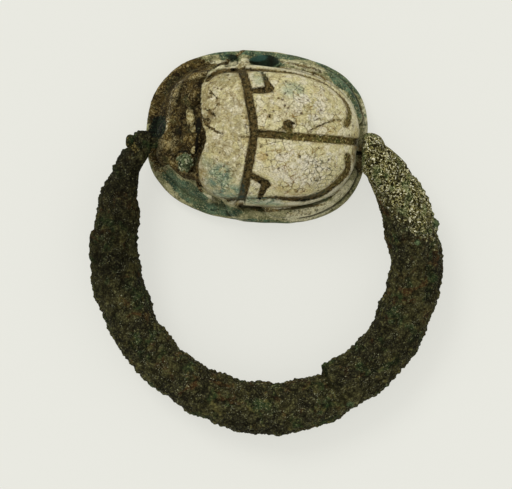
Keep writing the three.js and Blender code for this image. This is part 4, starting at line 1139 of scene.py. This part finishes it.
class RING_OT_hoop(bpy.types.Operator):
    """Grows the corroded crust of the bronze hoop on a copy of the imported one"""

    bl_idname = "ring.hoop"
    bl_label = "Bronze hoop"

    def execute(self, context):
        sizes = context.scene.ring_hoop
        hoop = self.bare_bar(context, sizes)
        points, normals = points_and_normals(hoop)
        x, y, z = points.T
        drift = [rough(points, 0.9, seed) for seed in (11.0, 12.0, 13.0)]
        wandering = points + 0.25 * np.stack(drift, axis=1)
        grain = 0.6 * grains(wandering, 0.55) + 0.4 * grains(points, 0.28, 5.0)
        lumps = rough(points, 2.6, 2.0) + 0.6 * rough(points, 1.1, 4.0)
        push = sizes.lump_height * lumps + sizes.grain_height * (1.6 * grain - 0.95)
        crack_push, crevice = self.crack(points)
        push = push + crack_push
        # The crust is held back where it would touch the stone, and in the bores and on the ends round them
        bore_far = np.hypot(y - BORE_PLACE[0], z - BORE_PLACE[1])
        near_stone = (1 - step(np.abs(x), *STONE_ENDS)) * (1 - step(bore_far, *STONE_SIDES))
        push = push * (1 - near_stone) + near_stone * np.minimum(push, HELD_BACK)
        facing = step(np.abs(normals[:, 0]), 0.6, 0.9) * (bore_far < BORE_FACE) * (np.abs(x) < STONE_ENDS[1])
        calm = step(bore_far, *BORE_RIM) * (1 - 0.75 * facing)
        move_points(hoop, points + normals * (push * calm)[:, None])
        # The grain's height, lowered in the crack, carries painted shade and highlights into the crust
        self.paint_all(hoop, x, y, z, step(grain, 0.25, 0.85) * (1 - 0.8 * crevice))
        hoop.data.transform(Matrix.Scale(MM, 4))
        settle(hoop, points_and_normals(hoop)[0], "shank", crust_finish("bronze_crust", sizes))
        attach(hoop, "hoop")
        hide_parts("shank")
        return {"FINISHED"}

    @staticmethod
    def bare_bar(context, sizes):
        """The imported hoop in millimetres, with even points and its facets smoothed."""
        hoop = bpy.data.objects.new("bronze_hoop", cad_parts["shank"].data.copy())
        hoop.data.materials.clear()
        context.scene.collection.objects.link(hoop)
        hoop.data.transform(Matrix.Scale(1 / MM, 4))
        select_only(hoop)
        bpy.ops.object.mode_set(mode="EDIT")
        close_up(HOOP_MERGE)
        pitch = sizes.pitch
        finish_with(hoop, "REMESH", mode="VOXEL", voxel_size=pitch)
        finish_with(hoop, "SMOOTH", factor=0.5, iterations=int(FACET_REACH / pitch))
        return hoop

    @staticmethod
    def crack(points):
        """How far the crack, its ledge and the bulge beside it push the surface, and where it gapes."""
        x, y, _ = points.T
        a, b = np.array(NOTCH_LINE)
        run, u, v = b - a, x - a[0], y - a[1]
        across = (v * run[0] - u * run[1]) / np.hypot(*run)
        inward = 1 - step((u * run[0] + v * run[1]) / run.dot(run), *INWARD_FADE)
        ragged = across + CRACK_WANDER * rough(points, 0.8, 21.0)
        near = (1 - step(np.abs(x - a[0]), *CRACK_FADE)) * (y < CRACK_LIMIT)
        crevice = (1 - step(np.abs(ragged), *CRACK_WALL)) * near
        ledge = step(-ragged, *LEDGE_START) * (1 - step(-ragged, *LEDGE_END)) * inward * near
        bulge = step(ragged, *BULGE_START) * (1 - step(ragged, *BULGE_END)) * inward * near
        return BULGE_RISE * bulge - LEDGE_DROP * ledge - CRACK_CUT * crevice * (0.4 + 0.6 * inward), crevice

    @staticmethod
    def paint_all(hoop, x, y, z, grain):
        left = step(-x, 5.0, 10.0) * step(y, -16.5, -9.0)
        right = step(x, 8.0, 11.0) * step(y, -18.0, -12.0)
        outward = step(np.hypot(x - HOOP_CENTRE[0], y - HOOP_CENTRE[1]), 9.4, 11.6)
        dusting = 1 - 0.45 * (1 - outward) * step(-y, 2.0, 5.0)
        sand = step(y + 0.25 * (x - 11.0), -10.0, -1.5) * step(x, 6.5, 7.5) * 1.25 * dusting
        knob = np.min([np.hypot(x - px, y - py) * scale + start for px, py, scale, start in KNOBS], axis=0)
        tan, _ = near_line(np.array(TIP_STREAK), x, y)
        paint(hoop, grain=grain, shaded=np.maximum(0.5 * left, 0.15 * right), sand=sand,
              verdigris=1 - step(knob, 0.2, 0.75), tan=0.75 * (1 - step(tan, 0.1, 0.5)) * step(z, 2.8, 3.4))


class RING_OT_pin(bpy.types.Operator):
    """Models the bronze pin, hammered over at its head end"""

    bl_idname = "ring.pin"
    bl_label = "Pin"

    def execute(self, context):
        low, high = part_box("swivel_pin")
        middle = (low + high) / 2
        bpy.ops.object.select_all(action="DESELECT")
        bpy.ops.mesh.primitive_cylinder_add(
            vertices=ROD_SIDES, radius=ROD_RADIUS, depth=high.x - low.x - PIN_HEAD_LENGTH,
            location=(middle.x + PIN_HEAD_LENGTH / 2, middle.y, middle.z), rotation=(0, math.radians(90), 0))
        pin = context.object
        pin.name = "swivel_pin_bronze"
        bpy.ops.object.transform_apply(location=True, rotation=True, scale=True)
        self.hammer_head(pin, (high.z - low.z) / 2 * PIN_HEAD_WIDTH, middle)
        finish_with(pin, "SUBSURF", levels=2, render_levels=2)
        points, normals = points_and_normals(pin)
        in_mm = points / MM
        grain = grains(in_mm, 0.3)
        push = 0.03 * (grain - 0.6) + 0.02 * rough(in_mm, 0.5)
        none = np.zeros(len(points))
        paint(pin, grain=step(grain, 0.25, 0.85), shaded=none + 0.3, sand=none, verdigris=none,
              tan=0.55 * step(-in_mm[:, 0], 8.5, 9.2))
        settle(pin, points + normals * (push * MM)[:, None], "swivel_pin",
               crust_finish("pin_crust", context.scene.ring_hoop))
        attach(pin, "hoop")
        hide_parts("swivel_pin")
        return {"FINISHED"}

    @staticmethod
    def hammer_head(pin, head_radius, middle):
        """Draws the rod's left end out into a wide, domed head."""
        bpy.ops.object.mode_set(mode="EDIT")
        bpy.ops.mesh.select_mode(type="FACE")
        bpy.ops.mesh.select_all(action="DESELECT")
        bpy.ops.object.mode_set(mode="OBJECT")
        for face in pin.data.polygons:
            face.select = face.normal.x < -0.9
        pivot = (min(v.co.x for v in pin.data.vertices), middle.y, middle.z)
        bpy.ops.object.mode_set(mode="EDIT")
        for share, scale in ((0.0, head_radius / ROD_RADIUS), *PIN_HEAD_RINGS):
            outward = (-PIN_HEAD_LENGTH * share, 0, 0)
            bpy.ops.mesh.extrude_region_move(TRANSFORM_OT_translate={"value": outward})
            bpy.ops.transform.resize(value=(1, scale, scale), center_override=pivot)
        close_up(PIN_MERGE)


class RING_OT_stage(bpy.types.Operator):
    """Sets out the plain pale floor, the soft lamps and the camera"""

    bl_idname = "ring.stage"
    bl_label = "Stage"

    def execute(self, context):
        sizes = context.scene.ring_stage
        scene = context.scene
        bpy.ops.object.select_all(action="DESELECT")
        bpy.ops.mesh.primitive_plane_add(size=sizes.floor_size, location=(0, 0, -FLOOR_DROP))
        floor = context.object
        floor.name = "floor"
        bpy.ops.object.transform_apply(location=True, rotation=True, scale=True)
        floor.data.materials.append(self.floor_finish(sizes))
        self.set_world(scene, sizes)
        bpy.ops.object.light_add(type="SUN", rotation=(0, sizes.key_tilt, sizes.key_turn))
        lamp = context.object
        lamp.name = "key_lamp"
        lamp.data.angle = sizes.key_softness
        lamp.data.energy = sizes.key_light * math.pi / math.cos(sizes.key_tilt)
        bpy.ops.object.camera_add(location=(*CAMERA_PLACE, sizes.camera_height),
                                  rotation=(0, 0, sizes.view_turn))
        camera = context.object
        camera.name = "camera"
        camera.data.sensor_width = FILM_WIDTH
        camera.data.lens = FILM_WIDTH * (sizes.camera_height - VIEW_LEVEL) / sizes.view_width
        camera.data.clip_start, camera.data.clip_end = VIEW_RANGE
        scene.camera = camera
        scene.view_settings.view_transform = "Standard"
        return {"FINISHED"}

    @staticmethod
    def floor_finish(sizes):
        """A matt floor whose shadows show faintly in the picture, as on a lit table."""
        f = Finish("pale_floor")
        colour = tuple(sizes.floor_colour) + (1.0,)
        f.shader.inputs["Base Color"].default_value = colour
        f.shader.inputs["Roughness"].default_value = 0.9
        f.shader.inputs["Specular IOR Level"].default_value = 0.0
        glow = f.node("ShaderNodeEmission", {"Color": colour, "Strength": 1.0})
        seen = f.node("ShaderNodeLightPath").outputs["Is Camera Ray"]
        mixed = f.node("ShaderNodeMixShader", {0: f.times(seen, sizes.floor_glow)})
        f.links.new(f.shader.outputs["BSDF"], mixed.inputs[1])
        f.links.new(glow.outputs["Emission"], mixed.inputs[2])
        f.links.new(mixed.outputs[0], f.output.inputs["Surface"])
        return f.material

    @staticmethod
    def set_world(scene, sizes):
        """Even light from all round, behind a pale backdrop that the camera, gloss and glass see instead."""
        world = bpy.data.worlds.new("studio")
        scene.world = world
        world.use_nodes = True
        nodes, links = world.node_tree.nodes, world.node_tree.links
        nodes.clear()
        light = nodes.new("ShaderNodeBackground")
        light.inputs["Color"].default_value = (1.0, 1.0, 1.0, 1.0)
        light.inputs["Strength"].default_value = sizes.world_light
        backdrop = nodes.new("ShaderNodeBackground")
        backdrop.inputs["Color"].default_value = tuple(sizes.floor_colour) + (1.0,)
        path = nodes.new("ShaderNodeLightPath")
        seen = path.outputs["Is Camera Ray"]
        for name in ("Is Glossy Ray", "Is Transmission Ray"):
            either = nodes.new("ShaderNodeMath")
            either.operation = "MAXIMUM"
            links.new(seen, either.inputs[0])
            links.new(path.outputs[name], either.inputs[1])
            seen = either.outputs[0]
        mixer = nodes.new("ShaderNodeMixShader")
        output = nodes.new("ShaderNodeOutputWorld")
        links.new(seen, mixer.inputs[0])
        links.new(light.outputs[0], mixer.inputs[1])
        links.new(backdrop.outputs[0], mixer.inputs[2])
        links.new(mixer.outputs[0], output.inputs["Surface"])


class RING_PT_panel(bpy.types.Panel):
    """Lists the ring's pieces and their settings"""

    bl_idname = "RING_PT_panel"
    bl_label = "Scarab ring"
    bl_space_type = "VIEW_3D"
    bl_region_type = "UI"
    bl_category = "Scarab ring"

    def draw(self, context):
        groups = (("ring.stone", "ring_stone"), ("ring.hoop", "ring_hoop"), ("ring.pin", None),
                  ("ring.stage", "ring_stage"))
        for operator, group in groups:
            box = self.layout.box()
            box.operator(operator)
            if group:
                settings = getattr(context.scene, group)
                for key in settings.__annotations__:
                    box.prop(settings, key)


GROUPS = {"ring_stone": RINGStone, "ring_hoop": RINGHoop, "ring_stage": RINGStage}
CLASSES = (*GROUPS.values(), RING_OT_stone, RING_OT_hoop, RING_OT_pin, RING_OT_stage, RING_PT_panel)


def register():
    for each in CLASSES:
        bpy.utils.register_class(each)
    for name, group in GROUPS.items():
        setattr(bpy.types.Scene, name, PointerProperty(type=group))


def unregister():
    for name in GROUPS:
        delattr(bpy.types.Scene, name)
    for each in reversed(CLASSES):
        bpy.utils.unregister_class(each)


def main():
    register()
    bpy.ops.ring.stone()
    bpy.ops.ring.hoop()
    bpy.ops.ring.pin()
    bpy.ops.ring.stage()
    bpy.context.view_layer.update()


if __name__ == "__main__":
    main()
